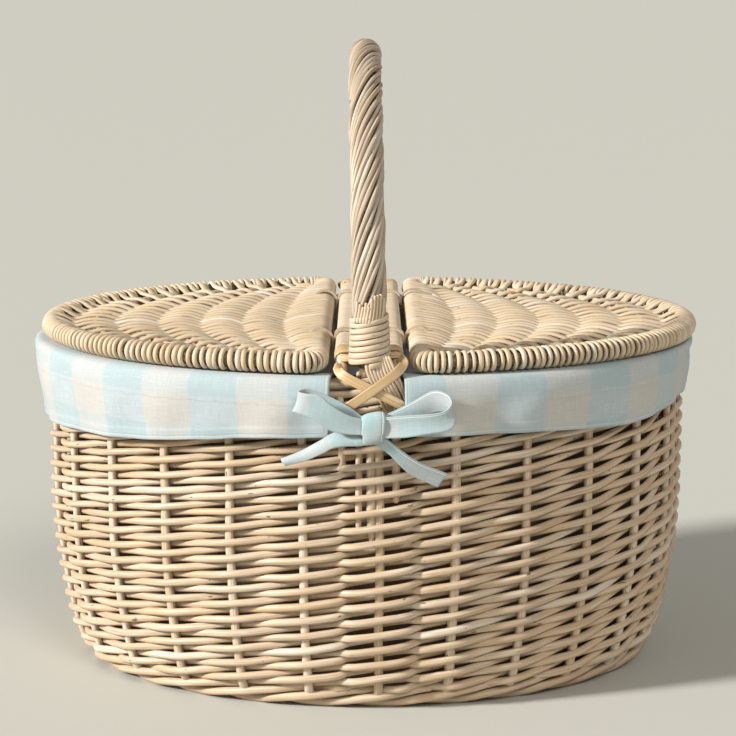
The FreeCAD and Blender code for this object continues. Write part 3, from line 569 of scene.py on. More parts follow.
def foot():
    """Strokes round the foot: each starts low beside a stake, climbs in front of the next and
    tucks in behind the third."""
    rods = Rods()
    for stake in range(STAKES):
        place = np.arange(-0.7, 2.25, 1 / 12)
        level = np.interp(place, [-0.7, -0.15, 0.2, 1.0, 1.6, 2.2], [5.2, 3.1, 3.1, 9.0, 12.6, 13.6])
        level = level + wander(place, 0.25, 2)
        size = rng.uniform(5.3, 6.0) - 0.3 * place
        outline = np.interp(level, [2.6, 5, 9, 12], [-24.2, -20.4, -16.8, -14.5])
        inwards = np.interp(place, [-0.7, -0.15, 0.3, 1.0, 1.5, 2.2], [-9.0, -1.2, 0.6, 0.9, -2.5, -7.5])
        path = oval_point(angle_at(stake + place), outline + inwards, np.maximum(level, size * 0.48))
        rods.add(path, (0, 0, 1), size, size * 0.88)
    rods.piece("foot_waling", WALL_WILLOW, replaces=["foot_wale"])


def base():
    """Rods woven over and under the base sticks, and straight rows across the middle."""
    rods = Rods()
    cross_sticks, long_sticks = [-90, -60, -30, 0, 30, 60, 90], [-36, 0, 36]
    for ring, inset in enumerate(np.arange(37.0, 103.0, 5.1)):
        a, b = LONG - inset, SHORT - inset
        marks = [math.copysign(1, s) * math.acos(x / a) for x in cross_sticks for s in (1, -1)]
        for y in long_sticks:
            marks += [math.asin(y / b), PI - math.asin(y / b)]
        marks = np.sort(np.mod(marks, 2 * PI))
        count = len(marks)
        marks = np.concatenate([marks - 2 * PI, marks, marks + 2 * PI])
        angle = np.linspace(0, 2 * PI, 260, endpoint=False)
        place = np.interp(angle, marks, np.arange(len(marks)) - count)
        level = FOOT_LEVEL + 3.2 * np.cos(PI * (place + ring))
        path = xyz(a * np.cos(angle), b * np.sin(angle), np.maximum(level, 3.0))
        rods.add(path, outward(angle), 4.6, 4.0, sides=6, closed=True)
    for row, y in enumerate(np.arange(-49, 49.1, 4.9)):
        reach = 104 * math.sqrt(max(1 - (y / 53) ** 2, 0.05))
        x = np.linspace(-reach, reach, 90)
        level = FOOT_LEVEL + 3.4 * np.cos(PI * (x / 30 + row))
        path = xyz(x, y, np.maximum(level, 3.0))
        rods.add(path, (0, 1, 0), 4.5, 3.8, sides=6)
    rods.piece("base_weavers", WALL_WILLOW, replaces=["base_weave"])


def border():
    """Rope-like border: stake ends worked down round the rim."""
    rods = Rods()
    strands, twists = 4, 10
    for number in range(strands):
        angle = np.linspace(0, 2 * PI, 620, endpoint=False)
        twist = -twists * angle + 2 * PI * number / strands
        offset = 2.9 * np.cos(twist)
        level = 211.4 + 2.9 * np.sin(twist) + 0.3 * np.sin(9 * angle + number)
        rods.add(oval_point(angle, offset, level), (0, 0, 1), 5.3, 5.0, closed=True)
    rods.piece("rim_rope", WALL_WILLOW, replaces=["rim_border"])


# -------------------- handle
ARCH_LEG = ARCH_SPRING - 217.0
ARCH_RUN = PI * SHORT + 2 * ARCH_LEG


def arch(run):
    """Point and inward normal of the handle's middle line at a distance along it."""
    run = np.asarray(run, float)
    bow = np.clip((run - ARCH_LEG) / SHORT, 0, PI)
    before, after = np.minimum(run - ARCH_LEG, 0), np.maximum(run - ARCH_LEG - PI * SHORT, 0)
    y = -SHORT * np.cos(bow)
    z = ARCH_SPRING + SHORT * np.sin(bow) + before - after
    point = xyz(-2.6 * smooth((z - 245) / 190), y, z)
    inward = xyz(0, np.cos(bow), -np.sin(bow))
    return point, inward


def handle():
    """Heart rod, and the packing rods that run down into the wall beside its legs."""
    rods = Rods()
    point = arch(np.linspace(0, ARCH_RUN, 120))[0]
    rods.add(point, (1, 0, 0), 12.0, sides=12, tone=0.4)
    # the heart rod is dark brown as painted shade in the gaps of the roping
    rods.piece("handle_rod", SHADED_ROD, slot="willow_rod", replaces=["handle_core"])
    rods = Rods()
    for back in (False, True):
        for x, low, size, lean in ((1.1, 114.5, 6.2, 0.3), (-5.7, 119.0, 4.5, -0.8)):
            level = np.linspace(219, low, 26)
            taper = np.interp(level, [low, low + 5, low + 16], [0.42, 0.86, 1.0])
            path = xyz(x + lean * (219 - level) / 100, 0.4 - 1.2 * (1 - taper) - SHORT, level)
            rods.add(turned(path, back), (1, 0, 0), size * taper, size * taper, tone=0.75)
    rods.piece("leg_rods", WALL_WILLOW, slot="willow_rod",
               replaces=["front_packing_rod", "rear_packing_rod"])


def roping():
    """Thin rods twisted round the heart rod from leg to leg."""
    rods = Rods()
    strands, pitch = 16, 142.0
    run = np.linspace(11.0, ARCH_RUN - 11.0, 230)
    point, inward = arch(run)
    ends = np.minimum(run, ARCH_RUN - run)
    hug = smooth((ends - 18) / 26)
    for number in range(strands):
        phase = 2 * PI * number / strands + rng.uniform(-0.05, 0.05)
        twist = phase + 2 * PI * run / pitch + wander(run, 0.05, 190)
        size = rng.uniform(2.6, 3.5) + wander(run, 0.15, 150)
        radius = 7.7 + (1.5 + rng.uniform(-0.7, 0.3) + wander(run, 0.3, 120)) * hug
        direction = np.outer(np.cos(twist), (1, 0, 0)) + np.sin(twist)[:, None] * inward
        path = point + radius[:, None] * direction
        across = np.outer(-np.sin(twist), (1, 0, 0)) + np.cos(twist)[:, None] * inward
        rods.add(path, across, size * (0.82 + 0.18 * hug), size * 0.92)
    rods.piece("roping_rods", HANDLE_WILLOW, replaces=["handle_roping"])


def whipping(back):
    """Skein wound eight times round a leg, its turns rising to the right."""
    rods = Rods(back)
    turns, pitch = 8, 3.65
    angle = np.linspace(0, 2 * PI * turns, turns * 30)
    share = angle / angle[-1]
    radius = 12.1 - 1.15 * share + 0.12 * np.sin(3.1 * angle)
    x = radius * np.sin(angle) + 0.5 * (1 - share)
    y = -radius * np.cos(angle)
    tilt = 1.5 * np.sin(angle) * (1 + 0.5 * (share > 0.86))
    level = 225.6 + pitch * angle / (2 * PI) + tilt
    wide = 3.25 + 0.25 * np.sin(1.7 * angle)
    rods.add(xyz(x, y - SHORT, level), (0, 0, 1), wide, 1.7, sides=10, tone=0.6, flat=0.55)
    for i in range(10):
        x = -7.6 + 1.75 * i
        top = (262.0 if i < 5 else 266.5) + rng.uniform(-1.2, 2.0)
        y = -SHORT - math.sqrt(10.9 ** 2 - x ** 2)
        cut_end = through([(x - 1.0, y - 0.3, 252), (x, y, 258), (x + 0.6, y - 0.2, top)], 8)
        rods.add(cut_end, (1, 0, 0), 1.9, 1.7, sides=6, tone=0.5, tip=0.9)
    rods.piece(END[back] + "_leg_whipping", BINDING_WILLOW, replaces=[END[back] + "_whipping"])


def leg_foot(back):
    """Thin ends of the roping that fan out below the whipping, and rods of the border there."""
    rods = Rods(back)
    for i in range(9):
        top = -2.0 + 2.1 * i
        jitter = rng.uniform(-0.4, 0.4)
        line = [(top * 0.8, -164.4, 231), (top + 1.0, -165.4, 222), (top + 7.0 + jitter, -164.6, 209),
                (top + 12.5 + jitter, -163.0, 197), (top + 17.5, -160.5, 186)]
        rods.add(through(line, 26), (1, 0, 0), rng.uniform(1.75, 2.15), 2.0, tone=rng.uniform(0.2, 0.8))
    for height, out, size in ((214.6, 161.2, 4.6), (208.6, 162.0, 4.8),
                              (202.4, 162.4, 4.2), (197.6, 162.2, 3.6)):
        x = np.linspace(-34, 6, 24)
        y = -out * np.sqrt(1 - (x / 216) ** 2)
        z = height + (x + 10) * 0.10 + 0.6 * np.sin(x / 9)
        rods.add(xyz(x, y, z), (0, 0, 1), size, size * 0.9, tone=rng.uniform(0.2, 0.6))
    for height, lean in ((199.5, 0.30), (203.6, 0.26), (195.8, 0.34)):
        x = np.linspace(-8, 30, 24)
        y = -161.4 * np.sqrt(1 - (x / 216) ** 2)
        z = height + (x - 4) * lean
        rods.add(xyz(x, y, z), (0, 0, 1), 3.2, 3.0, tone=rng.uniform(0.1, 0.5))
    knob = through([(-17.6, -158.0, 205.4), (-17.5, -162.0, 204.6), (-17.3, -165.4, 203.6)], 8)
    rods.add(knob, (1, 0, 0), 4.6, 4.6, tone=0.9, tip=0.6)
    rods.piece(END[back] + "_leg_foot", BINDING_WILLOW)


def crossed_straps(back):
    """Two flat tan straps crossed over the border in front of a leg."""
    rods = Rods(back)
    under = [(-17.5, -156, 224.5), (-18.5, -161.5, 222.5), (-13, -166.6, 218.5), (3, -168.6, 210.8),
             (19, -168.2, 202.6), (27, -165.0, 198.0), (33, -160.5, 195.0)]
    over = [(18.5, -155, 229.0), (20.6, -161.5, 226.5), (16.0, -167.6, 221.6), (1.0, -170.6, 210.6),
            (-13.0, -168.6, 200.9), (-18.5, -164.5, 197.2), (-22.0, -160.0, 195.0)]
    for line, tone in ((under, 0.45), (over, 0.3)):
        path = through(line, 44)
        across = unit(np.cross(unit(np.gradient(path, axis=0)), (0, -1, 0)))
        rods.add(path, across, 6.0, 1.2, sides=12, tone=tone, flat=0.4)
    rods.piece(END[back] + "_crossed_straps", TAN_SKEIN, slot="willow_skein",
               replaces=[END[back] + "_cross_binding"])


# -------------------- bridge
def stadium(share, radius):
    """Point (x, z) on the flat ring round the bridge's rods."""
    arc, flat = PI * radius, 2 * BRIDGE_HALF
    marks = np.cumsum([0, flat, arc, flat, arc])
    run = (share % 1.0) * marks[-1]
    bend = np.interp(run, marks, [0, 0, PI, PI, 2 * PI])
    middle = np.interp(run, marks, np.array([-1, 1, 1, -1, -1]) * BRIDGE_HALF)
    return middle + radius * np.sin(bend), radius * np.cos(bend)


def wound(rods, low, high, pitch, wide, thick, radius, tone, flat=1.0):
    """Skein wound round the bridge from one station to another, on over the bend of its rods."""
    turns = (high - low) / pitch
    share = np.linspace(0, turns, int(turns * 34))
    x, z = stadium(share, radius)
    dip = 0.35 * np.clip(z / radius, 0, 1) * (1 - np.cos(2 * PI * (x - 5.5) / 11.0)) / 2
    station = low + pitch * share + wander(share, 0.12, 6)
    straight = SHORT - BRIDGE_BEND
    bend = np.clip((np.abs(station) - straight) / BRIDGE_BEND, 0, PI / 2)
    way = np.sign(station)
    y = way * (np.minimum(np.abs(station), straight) + (BRIDGE_BEND + z - dip) * np.sin(bend))
    level = BRIDGE_LEVEL - BRIDGE_BEND + (BRIDGE_BEND + z - dip) * np.cos(bend)
    along = xyz(0, np.cos(bend), -way * np.sin(bend))
    rods.add(xyz(x, y, level), along, wide, thick, tone=tone, flat=flat)


def bridge_rods():
    """Four rods of the bridge; the outer two bend down at both ends into the wall."""
    rods = Rods()
    drop, bend = BRIDGE_BEND, SHORT - BRIDGE_BEND
    corner = np.linspace(0, PI / 2, 9)
    for x, front_low, rear_low in ((-BRIDGE_HALF, 159.0, 140.0), (BRIDGE_HALF, 140.0, 159.0)):
        down = np.stack([-bend - drop * np.sin(corner), BRIDGE_LEVEL - drop + drop * np.cos(corner)], -1)
        front = np.vstack([down, [[-SHORT, z] for z in np.linspace(BRIDGE_LEVEL - 24, front_low, 8)]])
        rear = np.vstack([down, [[-SHORT, z] for z in np.linspace(BRIDGE_LEVEL - 24, rear_low, 8)]])
        middle = [[y, BRIDGE_LEVEL] for y in np.linspace(-bend + 8, bend - 8, 12)]
        line = np.vstack([front[::-1], middle, rear * [-1, 1]])
        path = xyz(x, *line.T)
        low = np.interp(path[:, 2], [front_low, front_low + 14, 215], [0.62, 0.72, 1.0])
        rods.add(path, (1, 0, 0), 7.0 * low, sides=12, tone=0.6)
    for x in (-5.5, 5.5):
        rods.add(xyz(x, np.linspace(-130, 130, 14), BRIDGE_LEVEL), (1, 0, 0), 7.0, sides=12, tone=0.5)
    rods.piece("bridge_rods", WALL_WILLOW, slot="willow_rod",
               replaces=["bridge_side_rods", "bridge_inner_rods"])


def bridge():
    """Fine skein wound over the whole bridge, and a broad tan band at each end."""
    skein = Rods()
    wound(skein, -129.0, 129.0, 3.25, 3.2, 1.1, BRIDGE_ROD + 0.6, 0.7)
    skein.piece("bridge_skein", LID_WILLOW, replaces=["bridge_wrap"])
    bands = Rods()
    wound(bands, -152.0, -133.5, 5.6, 5.7, 1.3, BRIDGE_ROD + 0.8, 0.3, flat=0.45)
    wound(bands, 133.5, 152.0, 5.6, 5.7, 1.3, BRIDGE_ROD + 0.8, 0.4, flat=0.45)
    bands.piece("bridge_bands", TAN_SKEIN, slot="willow_skein", replaces=["bridge_end_bands"])


# -------------------- lids
def lid_edge(phi):
    """Hoop's middle line on the left half: phi is 0 at the tip and grows towards the back."""
    point = np.stack([-LID_LONG * np.cos(phi), LID_SHORT * np.sin(phi)], -1)
    normal = unit(np.stack([-np.cos(phi) / LID_LONG, np.sin(phi) / LID_SHORT], -1))
    return point, normal


phi = np.linspace(0, PI / 2, 4001)
edge_point, edge_normal = lid_edge(phi)
inner = edge_point - LID_CORNER * edge_normal
corner_index = int(np.argmax(inner[:, 0] > -HINGE - LID_CORNER))
CORNER_Y = inner[corner_index, 1]
edge_run = run_along(edge_point)
EDGE_RUN = edge_run[corner_index]


def edge_at(share):
    """Angle on the hoop at a share of the way from its tip (0) to a corner (-1 or 1)."""
    return math.copysign(np.interp(abs(share) * EDGE_RUN, edge_run, phi), share)


def sideways(out):
    """Direction along the hoop where out points away from it."""
    return np.array([-out[1], out[0], 0])


def wrap(centre, out, radius, start, stop, count, drift=(0.0, 0.0)):
    """Turn round the hoop between two angles, in the plane of out and Z, drifting along the hoop."""
    beta = np.radians(np.linspace(start, stop, count))
    level = LID_LEVEL + radius * np.sin(beta)
    plan = np.asarray(centre)[None] + radius * np.cos(beta)[:, None] * np.asarray(out)[None]
    return np.column_stack([plan, level]) + np.linspace(*drift, count)[:, None] * sideways(out)


def rib_radius(spot):
    """Bend radius of the rib that crosses the basket's long axis at spot."""
    return RIB_TIGHT + RIB_BOW ** 2 / np.maximum(spot - HINGE, 6)


def rib_place(x, y):
    """Where the bowed rib through a point of a lid crosses the long axis."""
    spot = np.array(x, float)
    for _ in range(30):
        radius = rib_radius(spot)
        spot = x + radius - np.sqrt(np.maximum(radius ** 2 - y ** 2, 0))
    return spot


def ribs(right):
    """Bowed ribs inside a lid's panel."""
    rods = Rods(right)
    for number in range(RIBS):
        spot = RIB_FIRST + number * RIB_PITCH
        radius = float(rib_radius(spot))
        bend = np.linspace(-0.86, 0.86, 80)
        x, y = spot - radius * (1 - np.cos(bend)), radius * np.sin(bend)
        inside = np.hypot(x / (LID_LONG - 9), y / (LID_SHORT - 9)) < 1
        rods.add(xyz(-x, y, LID_LEVEL)[inside], (0, 0, 1), RIB_THICK, tone=0.4)
    rods.piece(SIDE[right] + "_lid_bows", WALL_WILLOW, body="lid_" + SIDE[right], slot="willow_rod",
               replaces=[SIDE[right] + "_lid_ribs"])


def lid_plan(start, point, out):
    """Path of a panel rod seen from above, from the straight bar to its landing on the hoop."""
    reach = np.linalg.norm(point - start)
    bias = rng.uniform(-0.02, 0.02)
    a, b = start + [-0.36 * reach, 0], point - out * (0.32 + bias) * reach
    t = np.linspace(0, 1, max(10, int(reach / 3.2)))[:, None]
    return start * (1 - t) ** 3 + 3 * a * t * (1 - t) ** 2 + 3 * b * t * t * (1 - t) + point * t ** 3


def lid_rod(rods, number):
    """One panel rod: wound round the bar, woven over and under the ribs, twice round the hoop."""
    share = -1 + 2 * (number + 0.5 + rng.uniform(-0.08, 0.08)) / LID_RODS
    start = np.array([-HINGE, share * CORNER_Y])
    landing = share - 0.25 * 2 / LID_RODS
    point, out = lid_edge(np.array(edge_at(landing)))
    plan = lid_plan(start, point, out)
    run = run_along(plan)
    left = run[-1] - run
    wide, thick = rng.uniform(5.3, 6.0), rng.uniform(2.5, 2.9)
    place = rib_place(-plan[:, 0], plan[:, 1])
    wave = LID_SWING * np.cos(PI * ((place - RIB_FIRST) / RIB_PITCH + number))
    near_bar = smooth(1 - run / min(27, 0.5 * run[-1]))
    near_hoop = smooth(1 - left / min(15, 0.45 * run[-1]))
    level = wave * (1 - near_bar) * (1 - near_hoop) + BAR_WRAP * near_bar + HOOP_WRAP * near_hoop
    level = level + wander(run, 0.3, 70)
    panel = np.column_stack([plan, LID_LEVEL + level])
    ahead = unit(np.gradient(plan, axis=0))
    across = xyz(-ahead[:, 1], ahead[:, 0], 0)
    panel += across * wander(run, 0.35, 60)[:, None] * (1 - near_bar - near_hoop)[:, None]
    size = wide - (wide - 3.7) * smooth(1 - left / 10)
    if min(abs(start[1] - y) for y in TIES_LEFT) < 2.7:
        clear = run > 11.5
        panel, across, size = panel[clear], across[clear], size[clear]
    else:
        panel = np.vstack([wrap(start, (1, 0), BAR_WRAP, -150, 78, 13), panel])
        across = np.vstack([np.tile(across[0], (13, 1)), across])
        size = np.concatenate([np.full(13, wide), size])
    lean = rng.uniform(-0.9, 1.3)
    panel = np.vstack([panel, wrap(point, out, HOOP_WRAP, 78, -165, 15, drift=(0, lean))])
    across = np.vstack([across, np.tile(across[-1], (15, 1))])
    size = np.concatenate([size, np.full(15, rng.uniform(2.6, 3.5))])
    rods.add(panel, across, size, thick, flat=0.8)
    second = landing + (1 + rng.uniform(-0.16, 0.16)) / LID_RODS
    if abs(second) < 0.995:
        point, out = lid_edge(np.array(edge_at(second)))
        ring = wrap(point, out, HOOP_WRAP, 178, -172, 28, drift=(-lean, lean))
        rods.add(ring, sideways(out), rng.uniform(2.1, 3.3), thick, flat=0.8)


def lid(right):
    """Panel rods that fan from the straight bar to the hoop, and rings that bind its corners."""
    rods = Rods(right)
    for number in range(LID_RODS):
        lid_rod(rods, number)
    corner_turn = math.atan2(edge_normal[corner_index, 1], edge_normal[corner_index, 0])
    for end in (-1, 1):
        for angle in np.linspace(0.10, 0.93, 6) * corner_turn:
            out = np.array([math.cos(angle), end * math.sin(angle)])
            centre = np.array([-HINGE - LID_CORNER, end * CORNER_Y]) + LID_CORNER * out
            rods.add(wrap(centre, out, HOOP_WRAP, -175, 165, 26), sideways(out), 2.9, 2.6, sides=7)
    side = SIDE[right]
    rods.piece(side + "_lid_rods", LID_WILLOW, body="lid_" + side,
               replaces=[side + "_lid_weave", side + "_lid_binding"])


# -------------------- liner
# heights of the cuffs' lower edge at distances along them from the front opening
LEFT_HEM = ((0, 182.6), (38, 181.0), (65, 178.6), (90, 176.4), (138, 171.8), (180, 170.4),
            (240, 167.8), (295, 166.5), (400, 170.0), (500, 177.0), (600, 182.0))
RIGHT_HEM = ((0, 182.6), (70, 182.4), (98, 181.2), (127, 179.8), (155, 178.6), (180, 179.8),
             (205, 182.0), (240, 182.4), (300, 183.0), (450, 180.0), (600, 182.0))


def cuff(right):
    """Half of the liner's skirt: from inside the rim, over the border and down to a sewn hem."""
    profile = np.array([(-8.2, 204.0), (-7.9, 212.0), (-6.4, 217.0), (-2.0, 218.15), (4.0, 218.2),
                        (9.0, 218.3), (12.6, 217.6), (15.0, 214.2), (15.9, 208.0), (15.2, 200.0),
                        (13.9, 192.0), (12.4, 184.0), (10.9, 176.0), (9.4, 166.0), (8.4, 154.0)])
    line = through(profile, 200)
    run = run_along(line)
    gap = math.asin((CUFF_GAP + (0 if right else WALL_SHIFT)) / (LONG + 8))
    start, stop = PI / 2 + gap, 3 * PI / 2 - gap
    angle = np.linspace(stop, start, 380)
    if right:
        angle = PI - angle
    u = run_along(np.column_stack([(LONG + 12) * np.cos(angle), (SHORT + 12) * np.sin(angle)]))
    hem = np.interp(u, *zip(*(RIGHT_HEM if right else LEFT_HEM))) + wander(u, 0.35, 90)
    hem_run = np.interp(-hem, -line[100:, 1], run[100:])
    share = np.concatenate([np.linspace(0, 0.45, 16, endpoint=False), np.linspace(0.45, 1, 46)])
    s = share[:, None] * hem_run[None]
    offset, level = np.interp(s, run, line[:, 0]), np.interp(s, run, line[:, 1])
    hanging = smooth((216 - level) / 22) * (offset > 0)
    folds = np.zeros_like(s)
    for wave, amount in ((61, 0.9), (37, 0.6), (101, 1.2)):
        lean = rng.uniform(-0.5, 0.5)
        folds += amount * np.sin(2 * PI * ((u[None] + lean * (level - 200)) / wave + rng.random()))
    low = np.minimum(hem_run[None] - s, 40)
    offset = offset + hanging * (0.7 * folds + 0.7) + 0.35 * smooth((7.5 - low) / 1.2) * hanging
    snug = (8.0 if right else 3.8) * smooth((np.abs(np.cos(angle)) - 0.72) / 0.28)[None]
    offset = offset - snug * smooth((offset - 2) / 9) * smooth((224 - level) / 16)
    end = np.minimum(u, u[-1] - u)[None]
    offset = offset + 1.2 * smooth(1 - end / 16) * hanging
    grid = oval_point(angle[None], offset, level)
    edge = np.minimum(np.minimum(hem_run[None] - s, end), 30)
    across = np.broadcast_to(u[None], s.shape)
    if right:
        grid, across, edge = grid[:, ::-1], across[:, ::-1], edge[:, ::-1]
        level, s = level[:, ::-1], s[:, ::-1]
    uv = np.stack([across, flat_height(level, s, line, run)], -1)
    piece = cloth(SIDE[right] + "_cuff_skirt", grid, uv, edge, GINGHAM, 0.9, [SIDE[right] + "_cuff"])


def flat_height(level, s, line, run):
    """Height on the flat cloth: the level where it hangs, and the length beyond it over the rim."""
    crown = np.interp(-208.0, -line[100:, 1], run[100:])
    return np.where(s > crown, level, 208.0 + (crown - s))


def bag():
    """Cotton bag that lines the basket, slightly slack against the weave."""
    levels = np.concatenate([np.linspace(13.6, 40, 12), np.linspace(48, 216.5, 24)])
    angle = np.linspace(0, 2 * PI, 300, endpoint=False)
    run = run_along(np.column_stack([(LONG - 8) * np.cos(angle), (SHORT - 8) * np.sin(angle)]))
    folds = sum(amount * np.sin(count * angle + rng.uniform(0, 6)) for count, amount in
                ((11, 0.5), (17, 0.5), (29, 0.3)))
    rows, uv = [], []
    floor_offset = float(wall_offset(13.6, -7.6))
    for share in np.linspace(0.04, 0.97, 14):
        ring = oval_point(angle, floor_offset, 13.6) * [share, share, 1]
        ring[:, 2] += 0.35 * np.sin(5 * angle + 9 * share) * share
        rows.append(ring)
        uv.append(np.stack([run, np.full(len(angle), (share - 1) * 150 + 13.6)], -1))
    for level in levels:
        slack = np.sin(PI * (level - 13.6) / 203)
        side = -7.6 - slack * (5.0 + 1.6 * folds)
        rows.append(oval_point(angle, wall_offset(level, np.minimum(side, -7.2)), level))
        uv.append(np.stack([run, np.full(len(angle), level)], -1))
    grid, flat = np.array(rows), np.array(uv)
    edge = np.full(grid.shape[:2], 30.0)
    # the bag takes the dark backing as painted shade seen through the weave's gaps, with gingham on its
    # offset side
    piece = cloth("liner_cloth", grid, flat, edge, SHADE_BACKING, 0.8, ["liner_bag"], closed=True)
    piece.data.materials.append(GINGHAM)
    piece.modifiers["cloth thickness"].material_offset = 1


# -------------------- bows
# each ribbon of the front bow: points of its upper edge, points of its lower edge
LOOP_LEFT = (
    ((-2, -174, 195), (-13, -172.5, 203), (-27, -172, 210), (-37, -172.6, 213.5), (-42.0, -176.5, 212.5),
     (-37.5, -180.6, 211.8), (-29, -181.6, 210.6), (-22, -181.6, 205), (-12, -180.6, 198.6),
     (-1, -179, 195)),
    ((-2, -174, 187), (-14, -172, 192), (-28, -171.6, 197.5), (-39, -172.4, 200), (-45.2, -176.5, 200.2),
     (-43, -180.6, 200.4), (-34, -181.8, 196.8), (-22.5, -181.6, 189.4), (-12, -180.6, 187),
     (-1, -179, 186.5)))
LOOP_RIGHT = (
    ((5, -174, 196.4), (14, -173, 199.5), (26, -172.4, 205.6), (38, -172.2, 212.0), (46.5, -174.5, 210.5),
     (49.2, -177.4, 206), (45, -180.4, 201.4), (36, -181.8, 199.6), (24, -181.2, 198.8),
     (5, -179.2, 196.8)),
    ((5, -174, 187), (14, -172.6, 189), (26, -171.6, 193), (38, -171.4, 198.0), (47.5, -174.2, 199.4),
     (51.4, -177.4, 195.6), (47.6, -180.6, 189.6), (33, -182.0, 187.2), (20, -181.4, 185.2),
     (5, -179.2, 184.4)))
TAIL_LEFT = (
    ((2, -176.5, 186), (-6, -176.5, 185.6), (-19, -174.6, 187.4), (-30, -171.2, 180.8), (-41, -167.4, 174),
     (-53.2, -165.2, 168.6)),
    ((2, -177.2, 180.5), (-6, -177.0, 179.4), (-19.5, -176.2, 178.4), (-28, -173.6, 173.8),
     (-38, -169.4, 168.6), (-50.6, -165.8, 164.6)))
TAIL_RIGHT = (
    ((2, -177.6, 187.4), (10.2, -178.0, 184.0), (17, -176.6, 178.0), (30.4, -171.8, 168.0),
     (47.8, -167.0, 159.6)),
    ((0, -176.2, 181.4), (6, -175.6, 178.0), (12.5, -174.4, 173.0), (24.6, -171.2, 160.6),
     (41.4, -166.2, 151.2)))
# name, edges, CAD kind that it stands for, how far it bulges, and whether its stitching shows
RIBBONS = (("loop_left", LOOP_LEFT, "loops", 0.9, False), ("loop_right", LOOP_RIGHT, "loops", -0.9, True),
           ("tail_left", TAIL_LEFT, "tails", 1.2, False), ("tail_right", TAIL_RIGHT, "tails", 1.1, True))


def ribbon(name, edges, back, replaces, swell, stitched):
    """Flat ribbon between two edge lines, each through a few points, stitched along the upper one when
    stitched is set.
    """
    count, across = 60, 13
    a, b = [turned(through(line, count), back) for line in edges]
    share = np.linspace(0, 1, across)[None, :, None]
    grid = a[:, None] * (1 - share) + b[:, None] * share
    middle = (a + b) / 2
    normal = unit(np.cross(unit(np.gradient(middle, axis=0)), b - a))
    grid = grid + normal[:, None] * np.sin(PI * share) * swell
    run = run_along(middle)
    u = np.broadcast_to(run[:, None], (count, across))
    v = share[..., 0] * np.linalg.norm(b - a, axis=1)[:, None]
    edge = v if stitched else np.full_like(v, 30.0)
    piece = cloth(name, grid, np.stack([u, v], -1), edge, RIBBON, 0.9, replaces)


def bow(back):
    """Knot, two loops and two ends of the ties that close the cuffs."""
    for name, edges, kind, swell, stitched in RIBBONS:
        replaces = [] if name.endswith("right") else [END[back] + "_bow_" + kind]
        ribbon(END[back] + "_" + name, edges, back, replaces, swell, stitched)
    knot(back)


def knot(back):
    """Band of cloth drawn tight round the middle of the bow."""
    around, across = 40, 17
    centre = np.array([2.6, -176.6, 190.0])
    angle = np.linspace(0, 2 * PI, around, endpoint=False)
    share = np.linspace(-1, 1, across)
    half_deep, half_tall = 5.0, 9.2
    deep = half_deep * np.sign(np.cos(angle)) * np.abs(np.cos(angle)) ** 0.7
    tall = half_tall * np.sign(np.sin(angle)) * np.abs(np.sin(angle)) ** 0.72
    rows = []
    for s in share:
        pinch = 1.0 - 0.16 * abs(s) ** 3
        x = centre[0] + s * (6.9 - 0.9 * (np.sin(angle) < -0.2)) + 0.25 * np.sin(3 * angle)
        y = centre[1] - deep * pinch
        z = centre[2] + tall * pinch + 0.8 * s - 0.4 * np.cos(2 * angle) * s
        rows.append(xyz(x, y, z))
    grid = turned(np.array(rows), back)
    u, v = np.broadcast_arrays(angle[None] * 7.4, (share * 7.2)[:, None])
    edge = np.broadcast_to(((1 - share) * 7.4 - 0.3)[:, None], u.shape)
    name = END[back]
    piece = cloth(name + "_knot", grid, np.stack([u, v], -1), edge, RIBBON, 1.0, [name + "_bow_knot"],
                  closed=True)


# -------------------- build
uprights()
weavers()
foot()
base()
border()
handle()
roping()
for at_back in (False, True):
    whipping(at_back)
    leg_foot(at_back)
    crossed_straps(at_back)
bridge_rods()
bridge()
for on_right in (False, True):
    ribs(on_right)
    lid(on_right)
for on_right in (False, True):
    cuff(on_right)
bag()
for at_back in (False, True):
    bow(at_back)

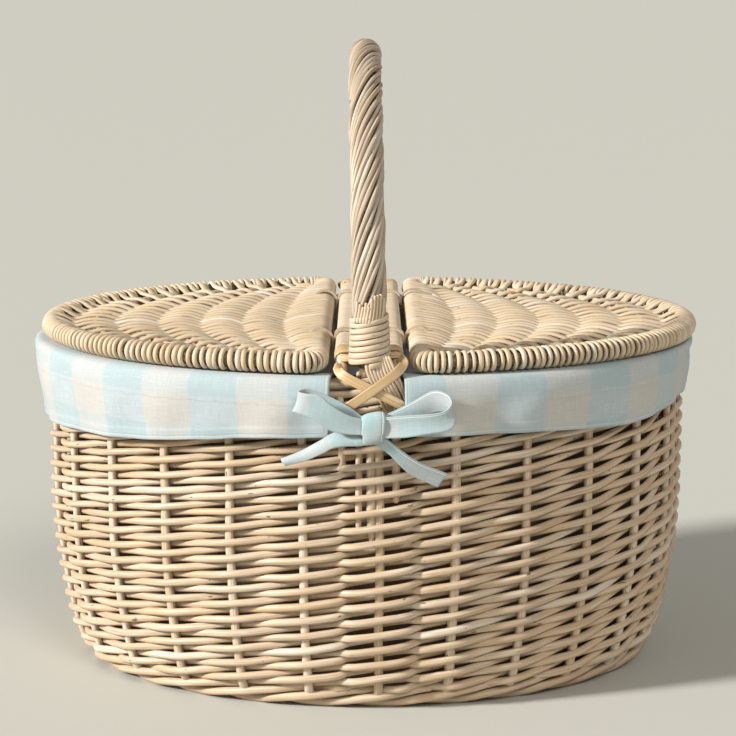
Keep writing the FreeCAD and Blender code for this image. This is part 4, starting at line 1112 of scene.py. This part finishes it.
# the lid hoops take the darkened inner rod: painted shade in the gaps between their wraps
for part, material in (("base_long_sticks", ROD_X), ("base_cross_sticks", ROD_Y),
                       ("left_lid_hoop", SHADED_ROD), ("right_lid_hoop", SHADED_ROD),
                       ("left_hinge_tie_front", CANE), ("left_hinge_tie_rear", CANE),
                       ("right_hinge_tie_front", CANE), ("right_hinge_tie_rear", CANE)):
    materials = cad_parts[part].data.materials
    materials.clear()
    materials.append(material)


# -------------------- floor, light and camera
def floor():
    """Large plain pale floor."""
    n = Nodes("studio floor")
    n.set(Base_Color=(0.56, 0.555, 0.505, 1), Roughness=0.8, Specular_IOR_Level=0.1)
    bpy.ops.mesh.primitive_plane_add(size=160, location=(0, 60, 0))
    ground = bpy.context.active_object
    ground.name = "studio_floor"
    ground.data.materials.append(n.material)


def sun(name, towards, energy, soft, color):
    """Sun that shines towards a direction; soft is its width in the sky, in degrees."""
    lamp = bpy.data.lights.new(name, "SUN")
    lamp.energy, lamp.angle, lamp.color = energy, math.radians(soft), color
    item = bpy.data.objects.new(name, lamp)
    item.rotation_mode = "QUATERNION"
    item.rotation_quaternion = Vector(towards).to_track_quat("-Z", "Y")
    bpy.context.scene.collection.objects.link(item)


floor()
sun("key", (0.88, 0.36, -0.46), energy=4.9, soft=8, color=(1.0, 0.985, 0.96))
sun("fill", (-0.30, 0.66, -0.68), energy=0.95, soft=22, color=(1.0, 0.97, 0.92))

world = bpy.data.worlds.new("studio")
world.use_nodes = True
world.node_tree.nodes["Background"].inputs["Color"].default_value = (1.0, 0.965, 0.91, 1)
world.node_tree.nodes["Background"].inputs["Strength"].default_value = 0.26
bpy.context.scene.world = world

camera = bpy.data.cameras.new("camera")
camera.sensor_width = 36
camera.lens = 102.8
camera.shift_x = -0.0014
camera.clip_end = 50
eye = bpy.data.objects.new("camera", camera)
eye.location = (0, -1.4, 0.458)
eye.rotation_euler = (math.radians(90 - 10.71), 0, 0)
bpy.context.scene.collection.objects.link(eye)
bpy.context.scene.camera = eye
bpy.context.scene.view_settings.view_transform = "Standard"
